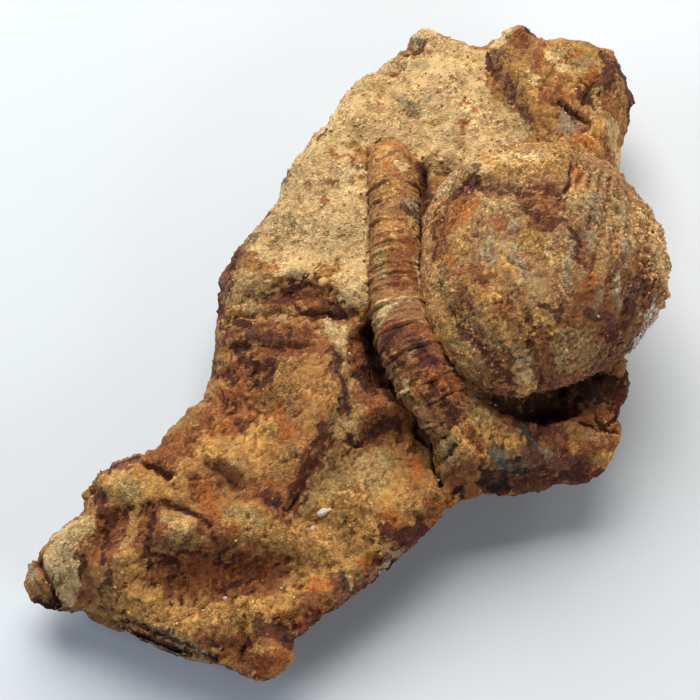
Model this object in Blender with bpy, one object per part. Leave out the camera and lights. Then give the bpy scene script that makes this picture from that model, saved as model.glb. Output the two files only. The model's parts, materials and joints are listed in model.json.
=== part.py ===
"""A crinoid stem and a brachiopod shell, fossils lying in one loose slab of iron-stained siltstone.

The stone rests on its worn underside. Z is up, X runs along the slab's shorter side and Y along its longer
one, and the origin is the middle of the slab's outline at table height. Lengths below are millimetres; MM
turns them into the metres that Blender works in.
"""

import bmesh
import bpy
import numpy as np
from math import cos, exp, pi, sin, sqrt
from mathutils import Vector, noise

MM = 0.001
TINY = 1e-9  # keeps a weight or a length from being zero

# Driving dimensions of the two fossils.
STEM_WAIST = 0.88  # a narrow disc's radius, as a share of a wide one's
DISC_PITCH = 1.5  # from one wide disc of the stem to the next
SHELL_HEIGHT = 9.4  # crown of the upper valve above its rim
SHELL_DEPTH = 3.6  # keel of the lower valve below the rim
SHELL_CENTRE = (19.0, 3.6, 14.3)  # middle of the rim's plane
SHELL_TILT = 0.07  # the rim's plane climbs to the left by this much for each millimetre
CLEARANCE = 0.3  # air between two fossils, or a fossil and its bed in the stone

# Driving dimensions of the stone.
BLANK_HEIGHT = 12.0  # thickness of the flat blank that is worked into the slab
BLANK_VOXEL = 0.8  # mesh size of that blank
RIM_ROUNDING = 2.8  # how far in from its edge the top face turns over
UNDERSIDE_LIFT = 2.6  # height of the underside where it meets the wall
UNDERSIDE_REACH = 9.0  # how far in from the edge the underside comes down to the table
WALL_REACH = 15.0  # how far in from the edge an undercut wall moves the stone
WALL_NEAR = 3.0  # how far in from the edge the wall's own roughness goes
GROOVE_LEVEL = 0.74  # height of the soft layer that has crumbled out of the wall, as a share of the wall
GROOVE_WIDTH = 0.12  # half the thickness of that layer, as a share of the wall
SPINE = ((-17.0, -22.0), (14.0, 20.0))  # the line inside the slab that its walls are cut in towards
TOP_GRAIN = ((5.0, 0.42), (2.2, 0.26))  # broken grain of the top: size of its lumps, and their height
WALL_GRAIN = ((4.2, 0.42), (1.9, 0.16))  # the same on the walls
UNDERSIDE_GRAIN = (9.0, 0.9, 0.3)  # the same below, and how far the hollows are filled up to the table
SHARPEST = 0.1  # foot points lower than this are worn flat
SLAB_TRIANGLES = 5800

# The slab's broken edge, clockwise from the back left corner: a name, how far the foot of the wall is cut in
# below that edge, how deep its soft layer has crumbled, and the edge's points as (x, y, height).
EDGES = [
    ("back", 3.5, 0.5, [
        (5.9, 33.8, 9.8), (6.6, 35.8, 10.0), (8.6, 36.2, 10.5), (11.0, 35.5, 10.0), (14.0, 34.3, 10.0),
        (16.5, 35.5, 10.5), (18.6, 36.5, 11.0), (20.8, 35.1, 10.8), (23.7, 35.2, 10.8), (28.1, 34.1, 10.0),
    ]),
    ("right, behind the shell", 3.0, 0.6, [
        (30.3, 32.2, 9.0), (31.1, 28.4, 9.0), (30.5, 25.3, 9.0), (28.8, 18.8, 9.0), (27.3, 12.0, 9.0),
        (26.8, 6.0, 9.0), (27.3, 0.0, 9.0), (28.3, -3.6, 9.3), (28.8, -5.4, 9.3),
    ]),
    ("toe of the step block", 4.5, 0.5, [
        (27.4, -8.6, 9.0), (27.2, -12.1, 9.0), (26.0, -15.1, 8.0), (24.0, -16.0, 7.5), (21.0, -16.3, 7.5),
        (18.4, -17.3, 7.5), (15.4, -17.7, 8.0), (12.4, -18.0, 8.0),
    ]),
    ("sloping front", 7.0, 0.3, [
        (10.4, -18.6, 8.5), (8.6, -20.6, 8.5), (6.7, -22.8, 8.0), (3.4, -25.7, 7.5), (0.0, -28.1, 7.0),
        (-2.9, -30.6, 7.0), (-5.2, -32.4, 7.0),
    ]),
    ("front lobe", 2.5, 0.8, [
        (-5.4, -33.9, 7.0), (-6.4, -35.4, 6.5), (-7.5, -36.5, 6.0), (-9.1, -36.1, 6.3), (-11.7, -34.9, 7.0),
    ]),
    ("layered front", 0.4, 2.0, [
        (-14.9, -33.5, 7.5), (-18.3, -32.4, 8.0), (-21.2, -31.2, 8.0), (-23.7, -30.3, 7.5),
    ]),
    ("west tip", 2.5, 1.0, [
        (-27.8, -28.6, 6.5), (-29.6, -28.9, 5.5), (-31.2, -28.2, 5.5), (-32.6, -26.6, 5.5), (-32.1, -24.5, 6.0),
    ]),
    ("west shoulder", 4.0, 0.4, [
        (-30.8, -23.0, 7.0), (-29.4, -21.3, 7.5), (-27.7, -19.9, 8.0), (-26.4, -18.7, 8.0), (-26.6, -17.5, 8.0),
        (-25.9, -16.2, 8.5), (-23.7, -14.2, 9.0), (-20.8, -13.0, 9.0), (-19.5, -12.7, 9.0),
    ]),
    ("left flank", 4.0, 0.3, [
        (-17.3, -9.6, 9.5), (-14.5, -7.6, 9.8), (-13.9, -5.9, 10.0), (-14.3, -2.0, 10.0), (-13.7, 2.5, 10.0),
        (-14.0, 6.0, 10.0), (-12.7, 8.0, 10.0), (-10.8, 11.0, 10.0), (-8.2, 14.5, 10.0), (-6.4, 19.1, 10.0),
        (-4.1, 23.2, 9.8), (-2.2, 25.3, 9.5), (-1.5, 28.2, 9.5), (0.5, 30.4, 9.5), (4.4, 32.7, 9.5),
    ]),
]

# The facets that the top face broke into: centre, height there, slope along x and y, and reach.
FACETS = {
    "sandy face": ((-4.1, 10.8), 13.0, (0.14, -0.03), 7.5),
    "back slope": ((7.5, 27.2), 11.8, (0.06, -0.14), 7.0),
    "rusty block": ((23.4, 26.1), 13.6, (-0.06, -0.15), 5.5),
    "shell bed": ((19.4, 5.3), 12.6, (0.0, 0.0), 7.5),
    "stem bank": ((9.4, 14.5), 12.6, (0.0, -0.02), 3.5),
    "brown plateau": ((-7.5, -6.1), 12.9, (0.07, 0.0), 6.0),
    "plateau foot": ((-11.8, -14.4), 12.0, (0.06, -0.02), 4.5),
    "ochre floor": ((3.9, -16.0), 10.6, (-0.12, 0.13), 5.0),
    "ochre skirt": ((-1.9, -25.7), 8.8, (-0.10, 0.12), 4.5),
    "west mound": ((-22.3, -21.4), 11.4, (0.04, 0.02), 5.0),
    "middle ridge": ((-11.6, -21.8), 12.4, (0.0, 0.02), 3.5),
    "trough": ((-10.0, -26.8), 9.5, (-0.03, 0.05), 3.0),
    "front apron": ((-17.0, -30.0), 9.4, (-0.02, 0.04), 4.0),
    "front lobe": ((-8.2, -34.3), 7.8, (0.0, 0.10), 3.0),
    "step block": ((12.8, -14.0), 12.4, (-0.14, 0.04), 4.5),
    "shaded shelf": ((23.2, -7.8), 9.3, (-0.04, -0.04), 5.0),
    "east toe": ((24.9, -13.3), 9.4, (-0.02, 0.02), 4.0),
    "west tip": ((-29.8, -26.2), 7.6, (0.10, 0.04), 3.5),
}

# Steps in the top face. The stone on the left of each line, walked in the order given, is higher by the rise.
LEDGES = {
    "lip of the sandy face": (
        [(2.0, -1.4), (-0.5, 0.6), (-3.4, 2.6), (-6.1, 3.4), (-9.6, 2.6), (-13.4, 2.0)], -2.2),
    "rusty step under the lip": ([(0.6, -3.4), (-4.6, -2.2), (-9.0, -2.4), (-13.6, -3.2)], -0.9),
    "plateau edge": ([(-0.7, -0.8), (0.0, -4.6), (-0.3, -8.9), (-2.2, -12.7), (-5.0, -18.8)], -2.0),
    "spur": ([(-4.0, -16.0), (1.5, -11.8), (5.8, -9.2)], 1.9),
    "side of the step block": ([(4.6, -9.4), (7.7, -12.2), (8.9, -14.7), (9.6, -18.2)], 2.6),
    "shaded side of the middle ridge": (
        [(-20.0, -25.9), (-16.0, -25.2), (-12.5, -24.6), (-8.4, -24.8), (-4.8, -24.4), (0.5, -24.4)], 2.0),
    "side of the rusty block": ([(15.6, 34.4), (15.9, 30.4), (17.3, 26.0), (18.9, 19.6)], 1.7),
    "western fold": ([(-21.4, -13.8), (-18.6, -17.2), (-16.2, -20.0), (-12.2, -20.6)], -1.3),
    "wedge": ([(-14.9, -15.2), (-11.2, -18.6), (-9.0, -20.0)], 1.0),
    "shelf under the shell": ([(10.8, -9.0), (18.0, -11.0), (25.5, -9.0)], -1.3),
    "foot of the middle ridge": ([(-26.6, -26.8), (-22.4, -24.4), (-20.4, -21.4)], -0.9),
    "back ledge": ([(0.6, 26.6), (6.6, 24.4), (12.4, 25.6)], 0.9),
    "toe ledge": ([(13.0, -16.6), (18.6, -15.2), (25.6, -13.6)], 0.9),
}
LEDGE_FADE = 3.2  # how far from its line a ledge dies away
LEDGE_WIDTH = 0.7  # half the width of a ledge's steep part
LEDGE_TAPER = 3.0  # how much of each end runs out to nothing

# Cracks: the line, the depth and the half width.
CRACKS = {
    "beside the step block": ([(4.8, -9.9), (7.4, -12.2), (8.5, -14.7), (9.2, -18.6)], 1.6, 0.7),
    "beside the stem": ([(1.9, 0.2), (2.5, -3.4), (3.8, -6.2), (5.4, -8.6)], 1.8, 0.7),
}

# Lumps (positive) and pits (negative) on the top face: centre, height, radius.
BUMPS = {
    "back knob": ((8.6, 34.4), 1.3, 1.6),
    "back spur": ((18.6, 34.2), 1.5, 1.8),
    "hollow beside the stem": ((8.5, 9.4), -2.1, 1.9),
    "hollow behind the stem": ((9.6, 17.0), -1.0, 2.0),
    "pebble": ((-2.6, 3.3), 0.5, 0.9),
    "sandy swell": ((0.2, 13.2), 0.7, 3.4),
    "sandy dip": ((-7.6, 7.4), -0.7, 2.6),
    "back dip": ((5.4, 30.0), -0.8, 2.2),
    "back swell": ((12.2, 29.6), 0.8, 2.6),
    "rusty dip": ((26.6, 24.6), -0.9, 2.2),
    "rusty crest": ((22.4, 29.6), 0.8, 2.4),
    "plateau crest": ((-4.4, -7.8), 0.8, 3.0),
    "plateau dip": ((-10.2, -10.4), -0.7, 2.4),
    "hollow under the stem": ((2.4, -6.2), -1.6, 2.0),
    "floor dip": ((5.6, -14.8), -0.7, 2.6),
    "floor swell": ((0.6, -18.6), 0.7, 3.0),
    "skirt swell": ((-0.6, -27.4), 0.6, 2.2),
    "dark knob": ((-24.4, -18.6), 1.3, 1.7),
    "knob hollow": ((-22.4, -20.6), -0.9, 1.2),
    "pale hump": ((-27.2, -23.9), 1.5, 2.8),
    "tip knob": ((-30.4, -26.6), 1.0, 1.5),
    "mound crest": ((-19.2, -22.2), 0.9, 2.4),
    "mound foot": ((-22.0, -25.6), 0.8, 1.8),
    "ridge crest": ((-13.8, -22.4), 0.8, 1.9),
    "trough deep": ((-10.2, -27.0), -0.8, 2.4),
    "apron crest": ((-20.0, -29.0), 0.8, 1.9),
    "apron dip": ((-15.2, -29.4), -0.5, 1.6),
    "notch behind the lobe": ((-4.9, -31.2), -1.0, 1.6),
    "groove behind the lobe": ((-10.6, -33.0), -0.8, 1.4),
    "lobe": ((-7.6, -34.2), 1.1, 2.0),
    "fold crest": ((-16.4, -18.0), 0.9, 2.0),
    "step block nose": ((11.4, -13.2), 1.1, 2.2),
    "step block foot": ((11.6, -16.6), 0.8, 1.6),
    "shelf hollow": ((19.6, -9.4), -0.8, 2.6),
    "toe swell": ((25.4, -11.6), 0.8, 2.0),
}

# The stem's axis from its buried back end to its buried front end, as (x, y, z, radius over the wide discs).
STEM_AXIS = [
    (3.8, 20.6, 9.2, 1.4), (3.9, 18.9, 11.5, 1.9), (4.2, 16.6, 13.1, 2.2), (4.6, 12.6, 13.9, 2.3),
    (4.7, 7.0, 14.2, 2.4), (4.8, 2.0, 14.3, 2.55), (5.3, -1.9, 14.2, 2.65), (6.3, -5.0, 13.9, 2.75),
    (7.7, -7.8, 13.3, 2.6), (8.9, -10.0, 12.6, 2.35), (9.9, -11.7, 11.6, 2.0), (10.6, -12.9, 10.3, 1.6),
]
STEM_SIDES = 14

# The shell's rim: distance from its centre every 15 degrees, starting on the right and turning to the back.
SHELL_RIM = [
    13.0, 13.4, 13.9, 14.3, 14.4, 14.0, 13.8, 13.9, 14.0, 13.7, 13.1, 12.3,
    12.0, 12.2, 12.8, 13.4, 13.9, 13.6, 12.3, 11.8, 11.6, 11.8, 12.1, 12.5,
]
SHELL_CROWN = (2.4, -0.4)  # how far the crown lies from the middle, towards the right and the back
SHELL_SIDES = 40
SHELL_BED_SIDES = 28
# The valves in section, from the crown out to the rim and in again to the keel: share of the radius and of the
# height above the rim (or, where negative, of the depth below it).
UPPER_SECTION = [
    (0.14, 0.995), (0.30, 0.955), (0.46, 0.88), (0.60, 0.77), (0.72, 0.64), (0.81, 0.51), (0.87, 0.41),
    (0.92, 0.30), (0.96, 0.19), (0.99, 0.09),
]
RIM_SECTION = [(1.0, 0.02), (0.99, -0.22)]
LOWER_SECTION = [(0.93, -0.50), (0.80, -0.76), (0.58, -0.93), (0.30, -0.99)]
SHOULDER_HEIGHT = 1.3  # the ledge of stone that still caps the shell's back edge
SHOULDER_FROM = (7.0, 0.9)  # its front edge, as a distance behind the shell's centre, and that step's width
SHOULDER_RIGHT = (3.5, 1.2)  # its right end, as a distance to the right of the centre, and that step's width
LAMELLA = (0.87, 0.035, 0.55)  # the groove inside the left rim: its share of the radius, its width, its depth


def clear_scene():
    """Empties the scene of everything it starts with."""
    for thing in list(bpy.data.objects):
        bpy.data.objects.remove(thing)


def material(name, colour, roughness):
    """A plain finish in one linear colour."""
    made = bpy.data.materials.new(name)
    made.use_nodes = True
    shader = made.node_tree.nodes["Principled BSDF"]
    shader.inputs["Base Color"].default_value = (*colour, 1.0)
    shader.inputs["Roughness"].default_value = roughness
    shader.inputs["Metallic"].default_value = 0.0
    made.diffuse_color = (*colour, 1.0)
    return made


def add_object(name, data):
    """Links a mesh or curve to the scene as a named object."""
    made = bpy.data.objects.new(name, data)
    bpy.context.scene.collection.objects.link(made)
    return made


def add_shape(name, shape):
    """Turns a bmesh into a named object, faces outwards."""
    bmesh.ops.recalc_face_normals(shape, faces=shape.faces)
    mesh = bpy.data.meshes.new(name)
    shape.to_mesh(mesh)
    shape.free()
    return add_object(name, mesh)


def as_helper(thing):
    """Marks an object as a cutter, which is no part of the slab."""
    thing.hide_render = True
    thing.display_type = "WIRE"
    return thing


def baked_mesh(thing):
    """The mesh that an object's modifiers, or a curve's bevel, make of it."""
    graph = bpy.context.evaluated_depsgraph_get()
    return bpy.data.meshes.new_from_object(thing.evaluated_get(graph))


def bake_modifiers(thing):
    """Replaces an object's mesh by the one its modifiers make."""
    baked = baked_mesh(thing)
    thing.modifiers.clear()
    thing.data = baked


def smoothstep(share):
    """0 below 0, 1 above 1, and a soft S between."""
    share = np.clip(share, 0.0, 1.0)
    return share * share * (3.0 - 2.0 * share)


def measure_line(line, xy):
    """Each point's distance from a broken line (left is positive), its place along it, and the line's length."""
    nearest = np.full(len(xy), np.inf)
    signed = np.zeros(len(xy))
    place = np.zeros(len(xy))
    walked = 0.0
    for start, end in zip(np.array(line[:-1]), np.array(line[1:])):
        step = end - start
        length = np.linalg.norm(step)
        share = np.clip((xy - start) @ step / length**2, 0.0, 1.0)
        away = xy - (start + share[:, None] * step)
        distance = np.linalg.norm(away, axis=1)
        side = np.sign(step[0] * away[:, 1] - step[1] * away[:, 0])
        closer = distance < nearest
        nearest[closer] = distance[closer]
        signed[closer] = (distance * side)[closer]
        place[closer] = (walked + share * length)[closer]
        walked += length
    return signed, place, walked


def run_out(place, length):
    """1 along a line, falling to 0 at both of its ends."""
    return smoothstep(place / LEDGE_TAPER) * smoothstep((length - place) / LEDGE_TAPER)


def facet_height(xy):
    """The top face as its facets blended into each other."""
    total = np.zeros(len(xy))
    weights = np.zeros(len(xy))
    for centre, height, slope, reach in FACETS.values():
        away = xy - np.array(centre)
        weight = np.exp(-((np.linalg.norm(away, axis=1) / reach) ** 2)) + TINY
        total += weight * (height + away @ np.array(slope))
        weights += weight
    return total / weights


def relief(xy):
    """Height of the top face away from its edge: facets, ledges, cracks, lumps and pits."""
    height = facet_height(xy)
    for line, rise in LEDGES.values():
        signed, place, length = measure_line(line, xy)
        step = np.tanh(signed / LEDGE_WIDTH) * np.exp(-((signed / LEDGE_FADE) ** 2))
        height += 0.5 * rise * step * run_out(place, length)
    for line, depth, width in CRACKS.values():
        signed, place, length = measure_line(line, xy)
        height -= depth * np.exp(-((signed / width) ** 2)) * run_out(place, length)
    for centre, rise, radius in BUMPS.values():
        distance = np.linalg.norm(xy - np.array(centre), axis=1)
        height += rise * np.exp(-((distance / radius) ** 2))
    return height


def rough(points, size, seed):
    """Noise of about -1 to 1 at each point, with grains of the given size."""
    offset = Vector((seed * 17.3, seed * 5.1, seed * 9.7))
    return np.array([noise.fractal(Vector(p) / size + offset, 0.9, 2.1, 3) for p in points])


def edge_points():
    """The whole broken edge as an array of (x, y, height, undercut, groove)."""
    return np.array([(*point, undercut, groove) for _, undercut, groove, points in EDGES for point in points])


def nearest_edge(xy, edge):
    """For each point, its distance to the edge, the edge's nearest place, and what edge_points gives there."""
    nearest = np.full(len(xy), np.inf)
    found = np.zeros((len(xy), edge.shape[1]))
    for start, end in zip(edge, np.roll(edge, -1, axis=0)):
        step = (end - start)[:2]
        share = np.clip((xy - start[:2]) @ step / (step @ step), 0.0, 1.0)
        here = start + share[:, None] * (end - start)
        distance = np.linalg.norm(xy - here[:, :2], axis=1)
        closer = distance < nearest
        nearest[closer] = distance[closer]
        found[closer] = here[closer]
    return nearest, found


def blank(edge):
    """A flat blank of the slab's outline, meshed evenly all over."""
    shape = bmesh.new()
    outline = [shape.verts.new((x * MM, y * MM, 0.0)) for x, y in edge[:, :2]]
    face = shape.faces.new(outline)
    top = bmesh.ops.extrude_face_region(shape, geom=[face])["geom"]
    raised = [v for v in top if isinstance(v, bmesh.types.BMVert)]
    bmesh.ops.translate(shape, verts=raised, vec=(0.0, 0.0, BLANK_HEIGHT * MM))
    stone = add_shape("matrix_rock", shape)
    remesh = stone.modifiers.new("even mesh", "REMESH")
    remesh.mode = "VOXEL"
    remesh.voxel_size = BLANK_VOXEL * MM
    bake_modifiers(stone)
    return stone


def inward(xy):
    """Unit vectors from each point towards the slab's spine, the line that its long axis follows."""
    spine_start, spine_end = np.array(SPINE)
    step = spine_end - spine_start
    share = np.clip((xy - spine_start) @ step / (step @ step), 0.0, 1.0)
    towards = spine_start + share[:, None] * step - xy
    return towards / np.maximum(np.linalg.norm(towards, axis=1), TINY)[:, None]


def grain(points, layers, seed):
    """Broken grain of several sizes, added up."""
    return sum(height * rough(points, size, seed + k) for k, (size, height) in enumerate(layers))


def work_stone(stone, edge):
    """Moves the blank's points to the slab's real form: relief, undercut walls and worn underside."""
    points = np.zeros(len(stone.data.vertices) * 3)
    stone.data.vertices.foreach_get("co", points)
    points = points.reshape(-1, 3) / MM
    xy, level = points[:, :2], np.clip(points[:, 2] / BLANK_HEIGHT, 0.0, 1.0)
    distance, found = nearest_edge(xy, edge)
    rim_height, undercut, groove = found[:, 2], found[:, 3], found[:, 4]

    top = rim_height + (relief(xy) - rim_height) * smoothstep(distance / RIM_ROUNDING)
    size, lumps, fill = UNDERSIDE_GRAIN
    lift = UNDERSIDE_LIFT * (1.0 - smoothstep(distance / UNDERSIDE_REACH))
    under = np.maximum(lift + lumps * rough(points, size, 4) - fill, 0.0)
    height = under + level * (top - under) + grain(points, TOP_GRAIN, 1) * smoothstep(level * 2.0)

    wall = np.clip(1.0 - distance / WALL_REACH, 0.0, 1.0)
    near = smoothstep(1.0 - distance / WALL_NEAR)
    crumbled = groove * np.exp(-(((level - GROOVE_LEVEL) / GROOVE_WIDTH) ** 2)) * near
    cut_in = undercut * (1.0 - level) ** 1.2 * wall + crumbled - grain(points, WALL_GRAIN, 3) * near
    moved = np.column_stack([xy + inward(xy) * cut_in[:, None], np.maximum(height, 0.0)])
    stone.data.vertices.foreach_set("co", (moved * MM).ravel())
    stone.data.update()


def thin_mesh(stone, triangles):
    """Brings a mesh down to about that many triangles, and puts its foot back on the table."""
    now = sum(len(face.vertices) - 2 for face in stone.data.polygons)
    decimate = stone.modifiers.new("fewer faces", "DECIMATE")
    decimate.ratio = min(1.0, triangles / now)
    bake_modifiers(stone)
    for vertex in stone.data.vertices:
        if vertex.co.z < SHARPEST * MM:
            vertex.co.z = 0.0


def axis_curve(step):
    """Points of (x, y, z, radius) along the stem, a given distance apart, on a smooth curve through its axis."""
    control = [Vector(p) for p in STEM_AXIS]
    control = [2 * control[0] - control[1], *control, 2 * control[-1] - control[-2]]
    fine = []
    for before, start, end, after in zip(control, control[1:], control[2:], control[3:]):
        for share in np.arange(0.0, 1.0, 0.05):
            bend = (2 * before - 5 * start + 4 * end - after) * share**2
            twist = (3 * start - before - 3 * end + after) * share**3
            fine.append(0.5 * (2 * start + (end - before) * share + bend + twist))
    fine.append(control[-2])
    points, left = [fine[0]], step
    for start, end in zip(fine, fine[1:]):
        length = (end - start).length
        while left <= length:
            start = start.lerp(end, left / length)
            length -= left
            points.append(start)
            left = step
        left -= length
    return points


def stem_tube(name, points, extra):
    """A closed tube along points of (x, y, z, radius), thicker all round by extra."""
    data = bpy.data.curves.new(name, "CURVE")
    data.dimensions = "3D"
    data.bevel_depth = MM
    data.bevel_resolution = STEM_SIDES // 2 - 2
    data.use_fill_caps = True
    spline = data.splines.new("POLY")
    spline.points.add(len(points) - 1)
    for place, point in zip(spline.points, points):
        place.co = (*(point.xyz * MM), 1.0)
        place.radius = point.w + extra
    return add_object(name, data)


def crinoid_stem(finish):
    """The stem: one string of wide and narrow discs by turns, bent at its lower half."""
    points = axis_curve(DISC_PITCH / 2)
    for k, point in enumerate(points):
        wear = 1.0 + 0.03 * noise.noise(Vector((k * 0.37, 2.0, 0.0)))
        point.w *= (1.0 if k % 2 else STEM_WAIST) * wear
    stem = stem_tube("crinoid_stem", points, 0.0)
    stem.data.materials.append(finish)
    return stem


def stem_bed():
    """The hollow that the stem lies in: a smooth tube a little wider than its wide discs."""
    points = axis_curve(DISC_PITCH / 2)
    first, last = (points[0] - points[1]).normalized(), (points[-1] - points[-2]).normalized()
    points = [points[0] + first * CLEARANCE, *points[2:-2:3], points[-1] + last * CLEARANCE]
    tube = stem_tube("stem_bed_curve", points, CLEARANCE)
    mesh = baked_mesh(tube)
    bpy.data.objects.remove(tube)
    return as_helper(add_object("stem_bed", mesh))


def shell_radius(angle):
    """Distance from the shell's centre to its rim in a direction, read smoothly between the measured ones."""
    place = (angle / (2 * pi)) * len(SHELL_RIM) % len(SHELL_RIM)
    first = int(place)
    share = smoothstep(place - first)
    return SHELL_RIM[first] * (1 - share) + SHELL_RIM[(first + 1) % len(SHELL_RIM)] * share


def shell_point(angle, out, up, grow):
    """A point of the shell: out is the share of its radius, up that of its height or, if negative, its depth."""
    reach = shell_radius(angle) + grow
    crown_share = (1.0 - out) if up > 0 else 0.0
    x = out * reach * cos(angle) + SHELL_CROWN[0] * crown_share
    y = out * reach * sin(angle) + SHELL_CROWN[1] * crown_share
    z = up * ((SHELL_HEIGHT if up > 0 else SHELL_DEPTH) + grow)
    if out < 1.0 and up > 0:
        behind = smoothstep((y - SHOULDER_FROM[0]) / SHOULDER_FROM[1])
        before_end = smoothstep((SHOULDER_RIGHT[0] - x) / SHOULDER_RIGHT[1])
        z += SHOULDER_HEIGHT * behind * before_end * sqrt(1.0 - out**6)
        place, width, depth = LAMELLA
        z -= depth * exp(-(((out - place) / width) ** 2)) * smoothstep(0.5 - 1.2 * cos(angle))
    cx, cy, cz = SHELL_CENTRE
    return Vector((cx + x, cy + y, cz + z - SHELL_TILT * x)) * MM


def shell_solid(name, sides, grow):
    """Both valves as one closed solid, larger all round by grow."""
    shape = bmesh.new()
    rings = [
        [shape.verts.new(shell_point(2 * pi * k / sides, out, up, grow)) for k in range(sides)]
        for out, up in UPPER_SECTION + RIM_SECTION + LOWER_SECTION
    ]
    crown = shape.verts.new(shell_point(0.0, 0.0, 1.0, grow))
    keel = shape.verts.new(shell_point(0.0, 0.0, -1.0, grow))
    for k in range(sides):
        after = (k + 1) % sides
        shape.faces.new((crown, rings[0][k], rings[0][after]))
        shape.faces.new((keel, rings[-1][after], rings[-1][k]))
        for upper, lower in zip(rings, rings[1:]):
            shape.faces.new((upper[k], lower[k], lower[after], upper[after]))
    return add_shape(name, shape)


def cut(thing, cutter):
    """Takes a cutter's room out of an object."""
    boolean = thing.modifiers.new("room for " + cutter.name, "BOOLEAN")
    boolean.operation = "DIFFERENCE"
    boolean.solver = "EXACT"
    boolean.object = cutter


def build():
    clear_scene()
    siltstone = material("iron-stained siltstone", (0.36, 0.19, 0.07), 0.95)
    stem_calcite = material("rusty stem calcite", (0.32, 0.14, 0.05), 0.85)
    shell_calcite = material("weathered shell", (0.30, 0.18, 0.08), 0.85)

    edge = edge_points()
    stone = blank(edge)
    work_stone(stone, edge)
    thin_mesh(stone, SLAB_TRIANGLES)
    stone.data.materials.clear()
    stone.data.materials.append(siltstone)

    stem_room = stem_bed()
    shell_room = as_helper(shell_solid("shell_bed", SHELL_BED_SIDES, CLEARANCE))
    crinoid_stem(stem_calcite)
    shell = shell_solid("brachiopod_shell", SHELL_SIDES, 0.0)
    shell.data.materials.append(shell_calcite)
    cut(shell, stem_room)
    cut(stone, stem_room)
    cut(stone, shell_room)


build()
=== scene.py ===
# %% [markdown]
# # A crinoid stem and a brachiopod in a loose piece of siltstone
#
# The specimen is three natural things grown together: a slab of sandy siltstone, stained by iron from pale
# sand to nearly black; the ringed stem of a crinoid, a sea lily; and the domed shell of a brachiopod. The
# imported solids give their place, size and main form. This lesson gives them their skin: grain, cracks,
# discs, ribs and stains.

# %% Load the frame
import json
from math import cos, pi, radians, sin

import bpy
import numpy as np
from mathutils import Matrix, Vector, noise

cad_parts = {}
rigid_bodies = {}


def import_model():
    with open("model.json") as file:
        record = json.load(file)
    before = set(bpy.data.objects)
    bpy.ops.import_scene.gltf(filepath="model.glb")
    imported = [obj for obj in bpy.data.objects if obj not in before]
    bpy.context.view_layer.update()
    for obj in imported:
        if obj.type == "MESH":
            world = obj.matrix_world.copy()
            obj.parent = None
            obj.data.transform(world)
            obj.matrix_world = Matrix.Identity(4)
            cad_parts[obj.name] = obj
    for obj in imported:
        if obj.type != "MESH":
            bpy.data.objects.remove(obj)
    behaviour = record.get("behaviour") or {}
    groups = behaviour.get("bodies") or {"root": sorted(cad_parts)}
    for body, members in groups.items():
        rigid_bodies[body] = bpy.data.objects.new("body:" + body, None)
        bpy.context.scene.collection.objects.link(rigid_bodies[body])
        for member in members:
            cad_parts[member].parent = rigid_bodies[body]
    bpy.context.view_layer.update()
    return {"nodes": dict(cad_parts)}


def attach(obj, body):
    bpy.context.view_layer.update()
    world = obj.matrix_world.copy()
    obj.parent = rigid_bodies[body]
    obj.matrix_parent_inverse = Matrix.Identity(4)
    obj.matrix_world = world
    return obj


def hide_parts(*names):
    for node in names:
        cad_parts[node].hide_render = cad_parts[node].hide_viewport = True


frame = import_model()
MM = 0.001

# %% [markdown]
# ## Small tools
#
# A rock has no straight edge to measure from, so its detail is made as a sculptor makes it: a fine, even
# mesh is moved point by point, by strokes placed in plan and by noise. Everything below works on plain
# arrays of millimetres, and each piece's object stays at the origin.


# %% Select, read and write a mesh
def deselect_all():
    """Leaves nothing selected, so that the next operator acts on one object alone."""
    for thing in bpy.context.view_layer.objects:
        thing.select_set(False)


def select_only(thing):
    """Makes one object selected and active."""
    deselect_all()
    thing.select_set(True)
    bpy.context.view_layer.objects.active = thing


def read_points(piece):
    """A mesh's points, in millimetres."""
    flat = np.empty(len(piece.data.vertices) * 3)
    piece.data.vertices.foreach_get("co", flat)
    return flat.reshape(-1, 3) / MM


def read_normals(piece):
    """The normal at each point of a mesh."""
    flat = np.empty(len(piece.data.vertices) * 3)
    piece.data.vertex_normals.foreach_get("vector", flat)
    return flat.reshape(-1, 3)


def read_edges(piece):
    """The pairs of points that a mesh's edges join."""
    flat = np.empty(len(piece.data.edges) * 2, int)
    piece.data.edges.foreach_get("vertices", flat)
    return flat.reshape(-1, 2)


def write_points(piece, points):
    """Moves a mesh's points to the given places, in millimetres."""
    piece.data.vertices.foreach_set("co", (points * MM).ravel())
    piece.data.update()


def write_mask(piece, name, values):
    """Stores a number at each point of a mesh, for a material to read."""
    mask = piece.data.attributes.get(name) or piece.data.attributes.new(name, "FLOAT", "POINT")
    mask.data.foreach_set("value", np.clip(values, 0.0, 1.0).astype(np.float32))


def read_mask(piece, name):
    """The numbers that write_mask stored."""
    values = np.empty(len(piece.data.vertices), np.float32)
    piece.data.attributes[name].data.foreach_get("value", values)
    return values


# %% Measure along strokes
def smooth(share):
    """0 below 0, 1 above 1, and a soft S between."""
    share = np.clip(share, 0.0, 1.0)
    return share * share * (3.0 - 2.0 * share)


def between(values, low, high, rise, fall):
    """1 between two values, with a soft rise after the low one and a soft fall before the high one."""
    return smooth((values - low) / rise) * smooth((high - values) / fall)


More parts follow.
